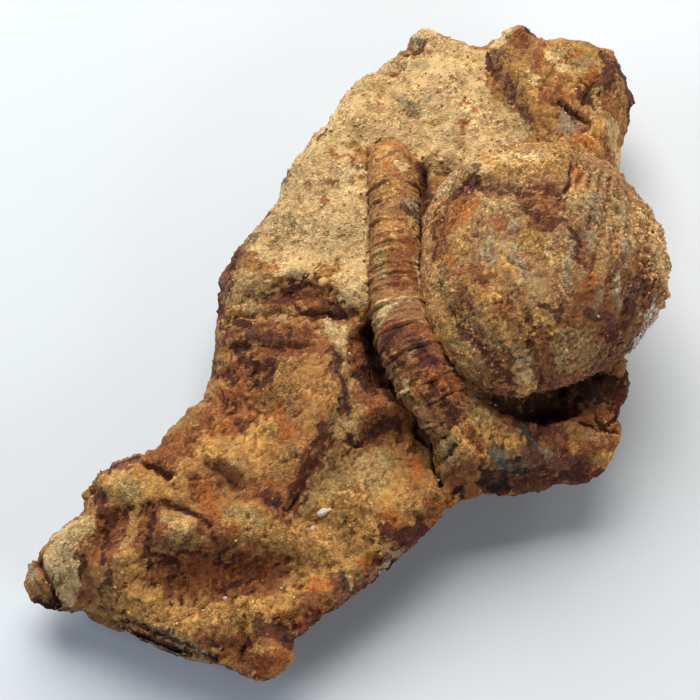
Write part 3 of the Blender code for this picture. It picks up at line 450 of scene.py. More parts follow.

# %% [markdown]
# ## The stone's stains
#
# Water carried iron through this rock and left it as rust: pale sand where none stayed, ochre and orange
# where it is thin, brown and purple-black where it fills the cracks. Such patches follow no formula, so
# they are painted: each stroke is a line in plan with a radius, and noise bends it. Some strokes are painted
# shade and shadow instead of stain: the dark ones in cracks and under ledges, and all the black_shade ones.
# A material later frays its edge and gives each stain its colour.

# %% Stains, in plan millimetres: radius, then the stroke's points
STONE_STAINS = {
    "ochre": [
        (0.5, [(-12.0, -0.6), (-9.2, -0.9), (-6.2, -1.0)]), (0.6, [(-7.4, 5.6), (-5.4, 4.9), (-3.4, 5.0)]),
        (0.4, [(-4.6, 2.6), (-3.2, 1.7)]), (3.0, [(1.0, -18.6), (3.4, -20.0), (-1.0, -22.6)]),
        (1.8, [(1.0, -13.6), (2.0, -15.4), (4.0, -16.8)]), (1.6, [(-1.6, -18.6), (-3.0, -21.6)]),
        (2.6, [(-2.6, -25.4), (-5.6, -27.2), (-8.0, -29.6)]),
        (2.0, [(-20.6, -28.6), (-17.0, -30.4), (-13.0, -31.2)]), (0.9, [(-17.0, -18.6), (-18.6, -17.2)]),
        (1.8, [(-22.4, -17.8), (-20.4, -18.8)]), (1.6, [(-10.4, -21.4), (-8.6, -22.4), (-5.6, -22.6)]),
        (1.2, [(-16.2, -22.8), (-16.8, -24.0)]), (1.0, [(11.0, -12.8), (11.4, -14.8)]),
        (1.2, [(9.0, -13.0), (9.4, -15.8)]), (1.0, [(13.4, -12.4), (14.6, -13.4), (16.6, -13.8)]),
        (2.2, [(22.4, 32.4), (25.4, 30.4), (25.0, 27.8)]), (1.4, [(24.8, 21.6), (27.0, 20.6)]),
        (1.2, [(-11.4, -5.2), (-10.6, -4.8)]), (1.4, [(-15.6, -12.6), (-12.6, -14.2)]),
        (1.6, [(-10.8, -14.6), (-8.0, -12.6)]), (1.2, [(-21.0, -22.8), (-21.4, -25.4)]),
        (0.6, [(-7.0, -33.8), (-8.8, -33.0)]), (0.6, [(21.6, -12.8), (22.8, -14.2)]),
        (0.8, [(25.6, -11.8), (25.8, -13.4)]), (1.0, [(17.6, 30.2), (18.2, 27.4), (19.2, 25.0)]),
        (1.0, [(-4.0, 18.4), (-0.6, 18.4)]), (1.2, [(12.2, 25.6), (13.4, 23.6)]),
    ],
    "sand": [
        (3.4, [(2.0, 29.0), (6.0, 28.0), (11.0, 29.4)]), (3.4, [(0.0, 24.4), (6.0, 23.0), (13.0, 23.4)]),
        (3.0, [(-3.0, 19.0), (-1.6, 12.0), (-3.0, 8.4)]), (2.6, [(-6.6, 13.0), (-7.6, 9.6), (-5.4, 7.0)]),
        (1.2, [(-6.0, 19.0), (-7.2, 15.8), (-8.4, 13.4), (-9.6, 11.4)]),
        (1.8, [(0.8, 14.0), (1.2, 8.0), (0.8, 2.2)]), (2.4, [(9.4, 19.4), (12.0, 20.4), (16.0, 20.6)]),
        (1.6, [(8.6, 34.6), (12.0, 33.0), (14.0, 31.4)]),
        (1.2, [(-28.0, -23.0), (-28.4, -25.0), (-28.2, -27.0)]),
        (1.0, [(-27.2, -23.6), (-27.2, -25.6), (-27.0, -27.2)]), (0.9, [(-26.8, -21.6), (-25.6, -22.2)]),
        (0.9, [(17.2, 35.0), (16.6, 33.8)]), (0.35, [(24.0, -11.9), (24.2, -12.4)]),
        (0.7, [(-2.3, -0.8), (-1.2, -2.4), (-0.6, -3.4)]), (0.8, [(-27.6, -22.0), (-26.2, -22.4)]),
        (0.9, [(28.0, 22.4), (28.2, 19.8)]), (0.5, [(19.0, 27.8), (19.3, 26.4)]),
        (0.4, [(21.6, 30.4), (23.0, 28.6)]), (0.35, [(24.8, 29.2), (26.2, 30.4)]),
    ],
    "khaki": [
        (1.9, [(-11.6, 3.6), (-9.6, 2.4)]), (0.9, [(4.4, 28.6), (5.4, 26.8), (6.6, 24.8)]),
        (0.7, [(8.0, 31.2)]), (0.5, [(10.4, 21.6), (13.4, 20.8)]),
        (1.1, [(-2.2, -1.2), (-0.9, -2.6), (-0.3, -4.2)]), (0.7, [(-2.3, -1.3), (-1.4, -2.4)]),
        (0.6, [(-6.4, -0.4), (-8.0, -0.6)]), (1.2, [(0.0, -4.6), (0.6, -7.0), (0.3, -10.0)]),
        (0.8, [(-2.2, -14.6), (-3.4, -17.0), (-4.4, -19.4)]), (1.3, [(-1.0, -12.0), (0.6, -11.4)]),
        (1.5, [(-2.0, -15.0), (-1.8, -17.6), (1.4, -15.6)]), (1.3, [(3.4, -14.8), (2.4, -17.4)]),
        (0.9, [(-17.4, -22.3), (-16.0, -22.6)]), (0.7, [(-17.4, -24.2), (-15.8, -23.6)]),
        (0.9, [(-11.2, -21.2), (-9.2, -22.0)]), (0.9, [(-26.0, -23.0)]),
        (0.8, [(-22.4, -17.8), (-20.6, -18.6)]), (0.7, [(4.0, -23.0), (6.0, -22.5)]),
        (0.9, [(-0.2, -27.2), (1.0, -25.8)]), (0.5, [(9.2, -13.4), (9.6, -15.0)]),
        (1.2, [(13.2, -10.8), (12.4, -9.6)]), (1.0, [(26.4, 25.8), (26.8, 24.0)]),
        (0.8, [(22.4, 31.4), (24.0, 29.4), (25.6, 30.2)]), (0.9, [(-10.4, -16.2)]),
    ],
    "orange": [
        (1.0, [(-14.6, -25.9), (-12.0, -26.0), (-8.6, -25.6)]), (0.5, [(-16.6, -25.6)]),
        (0.5, [(-21.4, -31.4), (-18.4, -32.4)]), (1.2, [(-14.2, -18.3), (-13.8, -20.0)]),
        (1.0, [(-12.9, -21.0)]), (1.0, [(3.8, -20.8), (4.8, -21.2)]),
        (0.8, [(6.3, -12.8), (6.8, -14.8), (6.6, -16.8)]), (1.0, [(-3.0, -27.0), (-1.6, -27.2)]),
        (0.4, [(5.5, -23.9), (6.2, -23.4)]), (0.6, [(1.4, -24.8), (2.2, -24.2)]),
        (0.3, [(12.3, 22.8), (12.1, 21.4)]), (0.35, [(12.0, 25.4), (13.2, 24.6)]),
        (0.35, [(22.6, 29.8), (24.6, 31.6)]), (0.4, [(24.8, 27.0), (26.2, 29.0)]),
        (0.8, [(24.2, 19.8), (25.4, 19.4)]), (0.7, [(-8.4, -35.0), (-7.0, -34.6)]),
        (0.7, [(-12.0, -12.0), (-13.6, -12.4)]), (0.3, [(-1.6, 18.6), (-0.2, 18.2), (0.8, 17.2)]),
        (0.9, [(8.6, -19.4), (9.6, -19.0)]), (0.8, [(9.0, -8.6), (9.8, -8.4)]), (0.5, [(-11.2, -5.4)]),
        (0.8, [(-7.4, -10.6), (-6.0, -12.8)]),
    ],
    "rust": [
        (1.0, [(-11.6, -1.2), (-8.0, -1.6), (-4.6, -2.0)]), (0.8, [(-13.6, -9.6), (-14.8, -11.8)]),
        (1.9, [(-11.6, -6.6), (-8.8, -6.2)]), (1.8, [(-12.4, -8.8), (-10.6, -10.0)]),
        (1.4, [(-7.4, -3.8), (-3.4, -3.8)]), (1.8, [(-16.4, -13.0), (-18.4, -14.6)]),
        (1.2, [(-9.8, -18.6), (-7.4, -19.2), (-7.0, -20.6)]),
        (0.8, [(-3.4, -14.4), (-4.0, -16.0), (-5.6, -18.8), (-6.4, -20.6)]),
        (1.0, [(-12.6, -16.2), (-11.0, -18.2)]), (1.4, [(-23.2, -21.6), (-23.4, -24.6)]),
        (0.8, [(-25.4, -25.6), (-25.6, -28.2)]), (1.2, [(-19.0, -21.0), (-19.4, -24.6)]),
        (1.2, [(-13.6, -22.6), (-12.2, -23.6)]), (1.9, [(-17.4, -26.0), (-13.0, -26.6), (-8.0, -26.0)]),
        (0.7, [(-30.0, -26.4), (-29.2, -27.4)]), (1.0, [(-7.0, -30.8), (-5.2, -30.4), (-3.4, -28.6)]),
        (0.9, [(3.8, -22.2), (6.0, -22.0), (8.0, -20.9)]), (1.0, [(-13.6, -32.6), (-11.0, -33.8)]),
        (0.6, [(-20.0, -32.4), (-16.8, -33.8)]), (1.0, [(-10.4, -32.6), (-10.0, -34.4)]),
        (1.4, [(19.4, -11.4), (20.6, -12.4), (19.4, -15.4)]),
        (1.3, [(23.4, -9.8), (26.0, -9.0), (27.0, -8.6)]),
        (1.0, [(26.0, -12.4), (24.4, -13.0), (22.8, -15.2)]), (0.9, [(10.2, -16.9), (12.2, -17.2)]),
        (0.7, [(11.8, -13.4), (12.6, -14.6)]), (0.9, [(-7.8, -32.6), (-6.0, -33.2)]),
        (0.8, [(-8.6, -34.6), (-7.0, -34.2)]), (1.2, [(13.6, -9.4), (16.4, -10.8)]),
        (1.4, [(1.4, -3.0), (1.6, -6.4), (2.2, -9.0)]), (1.4, [(2.0, -11.8), (4.8, -10.8)]),
        (0.4, [(20.4, 33.4), (20.6, 31.6), (20.0, 29.6), (19.4, 28.0)]),
        (1.0, [(20.4, 24.6), (22.4, 25.6)]), (1.0, [(18.8, 34.6), (18.0, 33.0)]),
        (0.9, [(27.0, 25.8), (27.6, 24.4)]), (0.8, [(27.0, 19.6), (28.0, 19.0)]), (0.5, [(-2.8, 13.0)]),
        (0.5, [(4.5, 30.5)]), (0.3, [(12.2, 22.8), (12.1, 22.0)]),
        (1.0, [(-7.8, 2.0), (-5.2, 2.4), (-3.0, 1.6)]), (1.2, [(8.0, -10.6), (9.4, -11.8)]),
    ],
    "mauve": [
        (0.9, [(-13.0, 6.2), (-13.2, 3.6), (-13.3, 1.4)]), (0.4, [(-6.6, 17.8), (-6.9, 16.8)]),
        (0.35, [(-8.2, 14.3), (-8.8, 13.2)]), (1.0, [(-10.4, 9.8), (-11.4, 8.0), (-12.9, 6.6)]),
        (0.4, [(-10.2, -1.3), (-8.4, -1.2)]),
        (0.55, [(-13.4, -1.8), (-11.6, -2.0), (-9.6, -2.3), (-7.4, -2.6), (-6.0, -2.7)]),
        (0.3, [(-1.9, 1.1), (-0.8, 0.8)]), (0.6, [(-13.8, -3.2), (-13.8, -5.8)]),
        (0.35, [(-0.2, 18.2), (0.6, 17.0), (1.1, 16.2), (2.2, 15.9)]),
        (0.45, [(15.4, 33.2), (15.6, 31.6), (16.1, 29.8)]),
        (0.3, [(16.2, 29.4), (16.8, 27.2), (17.2, 25.2), (18.0, 23.2), (18.8, 21.4)]),
        (0.2, [(18.6, 23.6), (19.2, 22.0), (19.5, 20.8)]), (1.0, [(22.8, 23.0), (23.6, 21.2)]),
        (0.8, [(27.8, 31.4), (28.6, 29.4)]), (0.8, [(-21.4, -14.9), (-23.0, -15.6)]),
        (0.8, [(-1.0, -26.8), (-0.8, -28.2)]),
        (0.9, [(1.4, -26.4), (3.0, -25.4), (5.6, -23.4), (7.4, -21.8)]),
        (0.8, [(19.2, -10.8), (20.4, -12.8)]), (0.9, [(17.4, -14.8), (19.8, -15.0), (22.8, -15.0)]),
        (0.8, [(18.6, -12.4), (20.8, -12.0)]),
        (0.5, [(-1.9, -4.2), (-1.2, -5.6), (-1.0, -7.8), (-0.7, -9.6)]),
    ],
    # Dark is partly stain and partly painted shade: the strokes along the cracks, under the ledges of the
    # trough near y -25 and of the spur near (3, -11), along the step block's lower face near y -16, and in
    # the hollow between the stem and the shell near x 8 are painted shade.
    "dark": [
        (0.5, [(-6.2, 3.3), (-4.6, 3.6)]), (0.5, [(-7.4, 1.9), (-5.8, 1.8)]),
        (0.4, [(-3.6, 3.9), (-2.6, 3.6)]), (0.5, [(-6.4, 1.6), (-5.0, 0.5), (-3.2, 0.4)]),
        (0.3, [(-2.6, 0.5), (-1.2, 0.1), (0.3, -0.4)]), (0.2, [(-10.2, 1.0), (-9.8, 0.4)]),
        (0.4, [(-12.6, -0.4), (-10.4, -1.0)]), (0.5, [(-11.4, -4.2), (-9.6, -5.2), (-7.8, -5.4)]),
        (0.45, [(-10.4, -6.9), (-9.0, -7.4)]), (0.4, [(-12.2, -6.0), (-11.6, -7.4)]),
        (0.4, [(-7.6, -7.0), (-8.0, -8.4)]), (0.4, [(-12.5, -8.4), (-11.8, -9.6)]),
        (0.4, [(-11.6, -3.2), (-9.0, -3.4)]), (0.6, [(-13.6, 4.6), (-13.6, 2.0)]),
        (0.4, [(-11.4, 8.0), (-12.2, 6.8)]),
        (0.3, [(-2.0, -4.2), (-1.3, -5.2), (-1.2, -6.6), (-0.8, -7.6), (-0.8, -9.0), (-0.7, -10.2),
            (-1.5, -11.2), (-2.1, -12.2)]),
        (0.55, [(-2.4, -12.6), (-2.9, -13.6), (-3.4, -14.0)]),
        (0.35, [(-3.8, -15.4), (-4.4, -16.8), (-5.0, -18.0), (-5.5, -19.2)]),
        (0.7, [(1.2, -5.8), (1.8, -8.2)]),
        (0.6, [(1.4, -1.4), (2.2, -3.4), (3.0, -5.4), (3.4, -7.4), (3.8, -8.8)]),
        (0.8, [(2.2, -11.6), (4.4, -10.9)]), (0.3, [(-0.2, -12.9), (0.6, -13.4), (1.3, -13.0)]),
        (0.55, [(-25.5, -17.3), (-24.9, -17.7)]), (0.75, [(-24.2, -18.8), (-23.9, -20.4)]),
        (0.3, [(-23.3, -21.2), (-23.1, -22.2)]), (0.4, [(-23.2, -26.2), (-23.8, -28.4)]),
        (0.3, [(-25.9, -24.6), (-26.1, -26.4)]),
        (0.5, [(-20.4, -15.5), (-19.2, -15.9), (-18.2, -16.5), (-17.5, -17.3)]),
        (0.4, [(-23.6, -15.0), (-20.6, -14.6)]),
        (0.25, [(-18.0, -19.8), (-16.4, -20.6), (-15.2, -21.3), (-14.2, -21.8)]),
        (0.5, [(-18.9, -20.8), (-19.0, -22.0)]), (0.45, [(-19.1, -23.0), (-19.5, -25.4)]),
        (0.35, [(-17.2, -25.3), (-15.8, -24.9), (-14.4, -24.5)]), (0.4, [(-13.8, -22.4), (-12.6, -23.8)]),
        (0.5, [(-23.3, -23.6), (-24.0, -25.6)]), (0.3, [(-8.8, -18.4), (-7.2, -20.2)]),
        (0.25, [(-7.4, -19.0), (-6.8, -20.6)]), (0.3, [(-18.0, -25.2), (-16.0, -25.0)]),
        (0.2, [(-12.8, -25.2), (-10.6, -25.0)]), (0.15, [(-7.6, -25.0), (-5.4, -24.8)]),
        (0.3, [(-13.2, -27.2), (-11.2, -27.6)]), (0.35, [(-17.2, -29.0), (-16.6, -29.2)]),
        (0.85, [(-8.2, -30.8), (-7.4, -31.9), (-6.2, -32.4), (-5.2, -32.0), (-4.2, -31.2), (-3.0, -30.3),
            (-1.4, -29.2)]),
        (0.9, [(0.0, -28.6), (2.4, -26.8), (4.6, -25.2), (7.2, -23.2)]),
        (0.8, [(3.4, -22.0), (5.2, -22.0), (7.0, -21.4)]), (0.6, [(7.2, -22.8), (8.4, -21.2)]),
        (0.3, [(-10.0, -32.4), (-10.6, -34.2)]), (0.9, [(-30.4, -28.2), (-29.2, -28.0)]),
        (0.25, [(-22.8, -30.5), (-20.0, -31.2), (-18.0, -32.0), (-15.0, -33.1)]),
        (0.9, [(27.8, 31.8), (28.4, 29.8), (27.6, 28.2)]),
        (0.8, [(26.8, 27.4), (25.6, 26.8), (24.9, 25.6)]),
        (0.8, [(29.6, 31.0), (30.8, 28.0), (30.6, 25.0)]),
        (0.2, [(15.2, 33.4), (15.4, 31.4), (15.9, 29.4)]), (0.4, [(7.2, 32.8), (8.4, 33.6)]),
        (0.5, [(18.8, 35.4), (20.6, 33.8)]),
        (0.25, [(21.5, 24.3), (22.6, 24.3), (23.4, 23.6), (25.0, 22.2)]),
        (0.45, [(13.0, -16.4), (15.8, -16.4), (19.0, -15.9), (22.0, -15.4), (25.6, -15.2)]),
        (0.8, [(14.0, -17.4), (17.0, -17.2), (21.0, -16.6), (25.0, -16.2)]),
        (0.7, [(8.4, -9.6), (8.0, -10.8)]), (0.8, [(9.0, -12.0), (9.8, -11.0)]),
        (0.7, [(17.0, -11.4), (17.8, -12.8), (18.0, -13.8)]), (0.6, [(18.6, -15.8), (20.0, -15.6)]),
        (0.4, [(6.2, -13.6), (6.8, -13.4)]), (1.1, [(27.2, -8.0), (28.4, -5.2)]),
        (0.6, [(7.2, 17.0), (8.2, 13.6), (8.4, 10.0), (7.6, 5.0)]), (0.3, [(15.2, 18.2), (14.2, 17.6)]),
        (0.25, [(9.0, 17.2), (9.4, 16.7), (9.9, 17.2)]), (0.4, [(-3.4, 21.8), (-2.4, 22.4)]),
    ],
    # Painted shadow and shade: the shell's cast shadow on the shelf near y -8, and the insides of cracks and
    # of the rim's under-edge.
    "black_shade": [
        (0.5, [(-30.4, -28.4), (-29.0, -28.0)]), (0.25, [(-21.6, -31.0), (-20.8, -31.3)]),
        (0.2, [(-17.4, -32.4), (-16.8, -32.6)]), (0.3, [(-6.2, -32.3), (-5.0, -31.9)]),
        (0.3, [(-13.4, -33.4), (-12.6, -33.8)]), (1.8, [(15.4, -8.6), (19.0, -8.6), (22.0, -7.8)]),
        (1.3, [(22.0, -7.4), (26.4, -6.0)]), (0.8, [(19.4, -9.6), (21.4, -9.0)]),
        (0.2, [(22.5, -10.2), (24.2, -11.0), (25.2, -11.2), (27.2, -11.0)]),
        (0.18, [(24.2, -9.5), (25.2, -10.8), (26.2, -10.2), (27.2, -9.5)]),
        (0.3, [(14.4, -15.5), (15.6, -15.8), (17.0, -15.8)]), (0.6, [(13.2, -16.6), (15.0, -16.9)]),
        (0.5, [(17.4, -12.2), (17.8, -13.2)]), (0.3, [(9.0, -16.2)]), (0.22, [(9.7, -14.6)]),
        (0.5, [(3.4, -6.2), (4.2, -7.4)]), (0.4, [(10.4, -18.0), (11.8, -18.3)]),
        (0.4, [(-15.6, -34.4), (-14.4, -34.8)]),
    ],
    "teal": [
        (0.8, [(14.4, -14.9), (15.2, -15.3)]), (0.4, [(16.2, -15.3), (16.9, -15.4)]),
        (0.35, [(17.2, -12.0), (17.8, -13.0), (18.6, -14.2)]), (0.3, [(7.0, 34.6), (8.0, 34.4)]),
    ],
    "grey": [
        (0.35, [(23.2, -11.8), (24.0, -12.5)]), (0.3, [(18.6, -13.6), (19.6, -14.4)]),
        (0.55, [(3.3, -24.7), (4.2, -24.2), (5.0, -23.8)]), (0.25, [(15.2, -14.9)]),
        (0.3, [(19.4, -13.7), (19.8, -14.0)]), (0.5, [(0.2, -27.6), (0.6, -26.6)]),
        (1.0, [(22.8, 22.4), (23.4, 21.2)]), (0.35, [(8.0, 31.0)]), (0.4, [(6.4, 25.2), (5.6, 26.6)]),
        (0.8, [(-21.4, -32.2), (-18.6, -33.2), (-15.6, -34.4)]), (0.5, [(-31.4, -24.6), (-31.6, -26.0)]),
        (0.5, [(-20.4, -31.6), (-17.4, -32.6), (-14.4, -33.6)]),
    ],
}
print("strokes:", {name: len(strokes) for name, strokes in STONE_STAINS.items()})

# %% Paint strokes
PALE_STAINS = {"sand", "khaki", "grey", "pale"}
STAIN_WANDER = 0.8  # how far noise bends a stain's strokes, in mm
CREEP = 0.5  # how far a dark stain creeps into a hollow and a pale one keeps out of it, in mm
FILL = {"sand": 1.6}  # pale sand fills its strokes nearly to their edges


def paint(piece, stains, above=1.0):
    """Stores a mask for each stain: 1 inside its strokes, 0 outside. Dark stains creep into hollows."""
    plan = wandering_plan(read_points(piece), 1.6, 41, STAIN_WANDER, 3)
    sunk = read_mask(piece, "hollow") - 0.5
    for name, strokes in stains.items():
        creep = (-CREEP if name in PALE_STAINS else CREEP) * sunk
        mask = np.zeros(len(plan))
        for radius, line in strokes:
            distance = np.abs(along(line, plan)[0]) - creep
            mask = np.maximum(mask, smooth(0.5 + 0.5 * (radius - distance) / (0.5 * radius + 0.15)))
        write_mask(piece, name, mask * above * FILL.get(name, 1.0))


# %% Stain the stone
# Painted shade: the underside and the low steep sides take a share of each dark stain, partly as their
# own darker stain and partly as shade.
UNDERSIDE_STAIN_AND_SHADE = {"mauve": 0.6, "rust": 0.5, "grey": 0.45, "dark": 0.4}
# A strip just under the front rim, in plan, takes less of that painted shade.
FRONT_STRIP = [(-22.6, -30.7), (-20.0, -31.5), (-18.0, -32.2), (-16.0, -32.8), (-14.0, -33.5)]
STRIP_REACH = 1.2
STRIP_LESS_SHADE = 0.75
# Pale sand takes less of the painted shade in hollows; this is how much less.
SAND_SHADE_CUT = 0.6  # how much shallower the hollows of pale sand look, where no rust has gathered

stone_up = smooth((read_normals(stone)[:, 2] + 0.35) / 0.4)
write_mask(stone, "hollow", hollows(stone, 3))
write_mask(stone, "valley", hollows(stone, 64))
paint(stone, STONE_STAINS, stone_up)
heights, slopes = read_points(stone)[:, 2], read_normals(stone)[:, 2]
shaded = np.maximum(smooth(-slopes / 0.5), smooth((7.0 - heights) / 2.5) * smooth((0.6 - slopes) / 0.5))
near_strip = smooth(1.4 - np.abs(along(FRONT_STRIP, read_points(stone)[:, :2])[0]) / STRIP_REACH)
shaded *= 1.0 - STRIP_LESS_SHADE * near_strip
for name, share in UNDERSIDE_STAIN_AND_SHADE.items():
    write_mask(stone, name, np.maximum(read_mask(stone, name), share * shaded))
sunk, sandy = read_mask(stone, "hollow"), read_mask(stone, "sand")
write_mask(stone, "hollow", sunk - SAND_SHADE_CUT * sandy * np.clip(sunk - 0.5, 0.0, 1.0))
print("painted", ", ".join(STONE_STAINS))

# %% [markdown]
# ## The crinoid stem
#
# A crinoid's stem is a pile of calcite discs, like a roll of coins. Each disc has a thin raised edge, and
# every third or fourth one is wider than its neighbours. A round tube along the stem's axis is turned into
# discs by moving its points in and out by a formula of the distance along the axis, which a curve's bevel
# alone can't do unevenly.

# %% The stem's route and its wide discs
# Points (x, y, z) and the radius of the stem's core, in millimetres; both ends dive into the stone.
STEM_ROUTE = [
    (3.8, 20.6, 9.2, 1.4), (3.9, 18.9, 11.5, 1.9), (4.2, 16.6, 13.1, 2.2), (4.6, 12.6, 13.9, 2.3),
    (4.7, 7.0, 14.2, 2.4), (4.8, 2.0, 14.3, 2.55), (5.3, -1.9, 14.2, 2.65), (6.3, -5.0, 13.9, 2.75),
    (7.7, -7.8, 13.3, 2.6), (8.9, -10.0, 12.6, 2.35), (9.9, -11.7, 11.6, 2.0), (10.6, -12.9, 10.3, 1.6),
]
STEM_SIDES = 64
STEM_STEP = 0.09
DISC_REACH = 0.28  # how far the discs stand out from the core
DISC_HEIGHT = 0.62
# Wide discs: how far back each is (y), and how far it stands out, in millimetres.
WIDE_DISCS = [
    (16.8, 0.14), (15.2, 0.08), (13.4, 0.2), (11.4, 0.24), (8.9, 0.28), (7.4, 0.12), (6.3, 0.22),
    (5.2, 0.16), (3.9, 0.24), (2.7, 0.2), (1.4, 0.26), (-0.2, 0.34), (-1.4, 0.14), (-2.7, 0.36),
    (-3.8, 0.16), (-4.9, 0.32), (-6.1, 0.18), (-7.8, 0.36), (-9.4, 0.26), (-10.8, 0.2),
]
print("the stem has", len(WIDE_DISCS), "wide discs")


# %% The stem's axis and tube
def smooth_route(route, step):
    """Points of (x, y, z, radius) a step apart on a smooth curve through the route."""
    knots = np.array([2 * np.array(route[0]) - route[1], *route, 2 * np.array(route[-1]) - route[-2]])
    fine = []
    for before, start, end, after in zip(knots, knots[1:], knots[2:], knots[3:]):
        square = 2 * before - 5 * start + 4 * end - after
        cube = 3 * start - before - 3 * end + after
        for t in np.arange(0.0, 1.0, 0.02):
            bend = square * t**2 + cube * t**3
            fine.append(0.5 * (2 * start + (end - before) * t + bend))
    fine = np.array(fine)
    walked = np.concatenate([[0.0], np.cumsum(np.linalg.norm(np.diff(fine[:, :3], axis=0), axis=1))])
    places = np.arange(0.0, walked[-1], step)
    return np.column_stack([np.interp(places, walked, fine[:, k]) for k in range(4)])


def stem_tube(axis):
    """A smooth tube along the axis, as a mesh."""
    curve = bpy.data.curves.new("crinoid_stem_discs", "CURVE")
    curve.dimensions = "3D"
    curve.bevel_depth = MM
    curve.bevel_resolution = STEM_SIDES // 2 - 2
    curve.use_fill_caps = True
    spline = curve.splines.new("POLY")
    spline.points.add(len(axis) - 1)
    for knot, place in zip(spline.points, axis):
        knot.co = (*(place[:3] * MM), 1.0)
        knot.radius = place[3] + DISC_REACH
    tube = bpy.data.objects.new(curve.name, curve)
    bpy.context.scene.collection.objects.link(tube)
    select_only(tube)
    bpy.ops.object.convert(target="MESH")
    return bpy.context.object


# %% Turn the tube into discs
SEAM_DEPTH, SEAM_WIDTH = 0.08, 0.16  # between plain discs: in mm, and as a share of a disc
RIDGE_BEHIND, RIDGE_FRONT = 0.22, 0.12  # half widths of a wide disc behind and in front of its crest, in mm
# The groove in front of a wide disc: depth as a share of the disc's height, then place and half width in mm.
GROOVE_DEPTH, GROOVE_AT, GROOVE_WIDTH = 0.34, 0.26, 0.12
BROKEN_TO, BROKEN_FROM = 5.5, 28.0  # along the axis, in mm: the stem is broken up before and after these


def disc_profile(place, points, discs_at):
    """How far each point of the stem stands in or out of a smooth tube."""
    waver = place + 0.18 * rough(points, 2.6, 51, 2) + 0.10 * rough(points, 0.8, 57, 1)
    phase = (waver / DISC_HEIGHT) % 1.0
    worn = np.clip(0.55 + 1.5 * rough(points, 2.1, 53, 2), 0.0, 1.35)
    seam = np.exp(-((np.minimum(phase, 1.0 - phase) / SEAM_WIDTH) ** 2))
    out = SEAM_DEPTH * (1.0 - seam) * worn
    for middle, (_, height) in zip(discs_at, WIDE_DISCS):
        away = waver - middle
        ridge = np.exp(-((away / np.where(away < 0.0, RIDGE_BEHIND, RIDGE_FRONT)) ** 2))
        groove = -GROOVE_DEPTH * np.exp(-(((away - GROOVE_AT) / GROOVE_WIDTH) ** 2))
        out += height * (ridge + groove) * worn
    return out


def make_stem():
    """The tube, with its points moved out to discs, worn, and broken up at both ends."""
    axis = smooth_route(STEM_ROUTE, STEM_STEP)
    stem = stem_tube(axis)
    points = read_points(stem)
    nearest = np.array([np.argmin(((axis[:, :3] - p) ** 2).sum(axis=1)) for p in points])
    place = nearest * STEM_STEP
    outward = points - axis[nearest, :3]
    radius = np.maximum(np.linalg.norm(outward, axis=1), 0.01)
    discs_at = [np.interp(-y, -axis[:, 1], np.arange(len(axis)) * STEM_STEP) for y, _ in WIDE_DISCS]
    out = disc_profile(place, points, discs_at)
    out += 0.10 * rough(points, 1.2, 54)
    out += 0.10 * chipped(points, 0.8, 55)
    broken = smooth((place - BROKEN_FROM) / 4.0) + smooth((BROKEN_TO - place) / 2.5)
    out += broken * (0.45 * rough(points, 1.8, 56) + 0.5 * chipped(points, 1.5, 58))
    points += outward / radius[:, None] * out[:, None]
    write_points(stem, points)
    select_only(stem)
    bpy.ops.object.shade_smooth()
    return stem


stem = make_stem()
print("stem:", len(stem.data.polygons), "faces")

# %% Stain the stem
STEM_STAINS = {
    "ochre": [
        (1.0, [(3.6, 17.4), (4.2, 12.4)]), (0.6, [(5.8, -8.8), (6.6, -10.0)]),
        (0.5, [(4.0, 8.6), (4.2, 4.0)]),
    ],
    "sand": [
        (0.6, [(3.0, -0.5), (5.0, -0.8), (7.2, -1.3)]), (0.6, [(3.2, -1.7), (5.4, -2.0), (7.6, -2.5)]),
        (0.35, [(5.4, 15.2)]), (0.5, [(6.9, 4.2), (7.0, 2.0)]), (0.4, [(5.5, -9.2)]),
    ],
    "khaki": [(0.8, [(6.2, 11.0), (6.6, 9.2)]), (0.4, [(3.0, 5.0), (3.2, 2.0)])],
    "orange": [
        (0.25, [(3.6, 19.2), (5.4, 18.8)]), (0.7, [(8.9, -8.6), (9.8, -8.8)]),
        (0.5, [(3.6, 15.4), (4.6, 14.4)]),
    ],
    "rust": [
        (1.3, [(5.6, 6.0), (5.0, 2.0)]), (1.0, [(5.0, -1.8), (7.0, -2.0)]),
        (2.4, [(5.0, -3.8), (6.8, -5.6), (9.0, -9.6)]),
    ],
    "mauve": [
        (0.35, [(2.6, 16.4), (4.0, 17.2), (5.4, 17.4), (6.4, 17.4)]),
        (0.9, [(4.6, -3.8), (6.6, -4.8), (8.2, -6.8)]),
    ],
    "dark": [
        (0.9, [(6.4, -5.2), (7.8, -7.2)]), (0.5, [(3.4, -4.2), (4.4, -6.8)]),
        (0.6, [(8.2, -9.6), (7.8, -11.0)]), (0.7, [(9.4, -10.4), (10.2, -12.0)]),
        # The first stroke here is painted shade down the stem's right side.
        (0.5, [(7.1, 11.0), (7.2, 7.0), (7.4, 3.0)]), (0.35, [(5.6, 10.4), (6.4, 9.6)]),
    ],
    "grey": [(0.3, [(5.8, -6.2), (7.2, -5.2)]), (0.5, [(6.2, 10.8), (6.6, 9.6)])],
}
write_mask(stem, "hollow", hollows(stem, 6))
write_mask(stem, "valley", hollows(stem, 40))
paint(stem, STEM_STAINS)
print("painted", ", ".join(STEM_STAINS))

# %% [markdown]
# ## The brachiopod shell
#
# The shell's upper valve is a worn dome: fine ribs fan down its right side from the beak at the back, the
# edges of its growth sheets run round its margin, and sand is still stuck to it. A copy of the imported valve
# takes these as strokes and waves. The ribs are waves across the shell, faded out where wear has taken
# them.

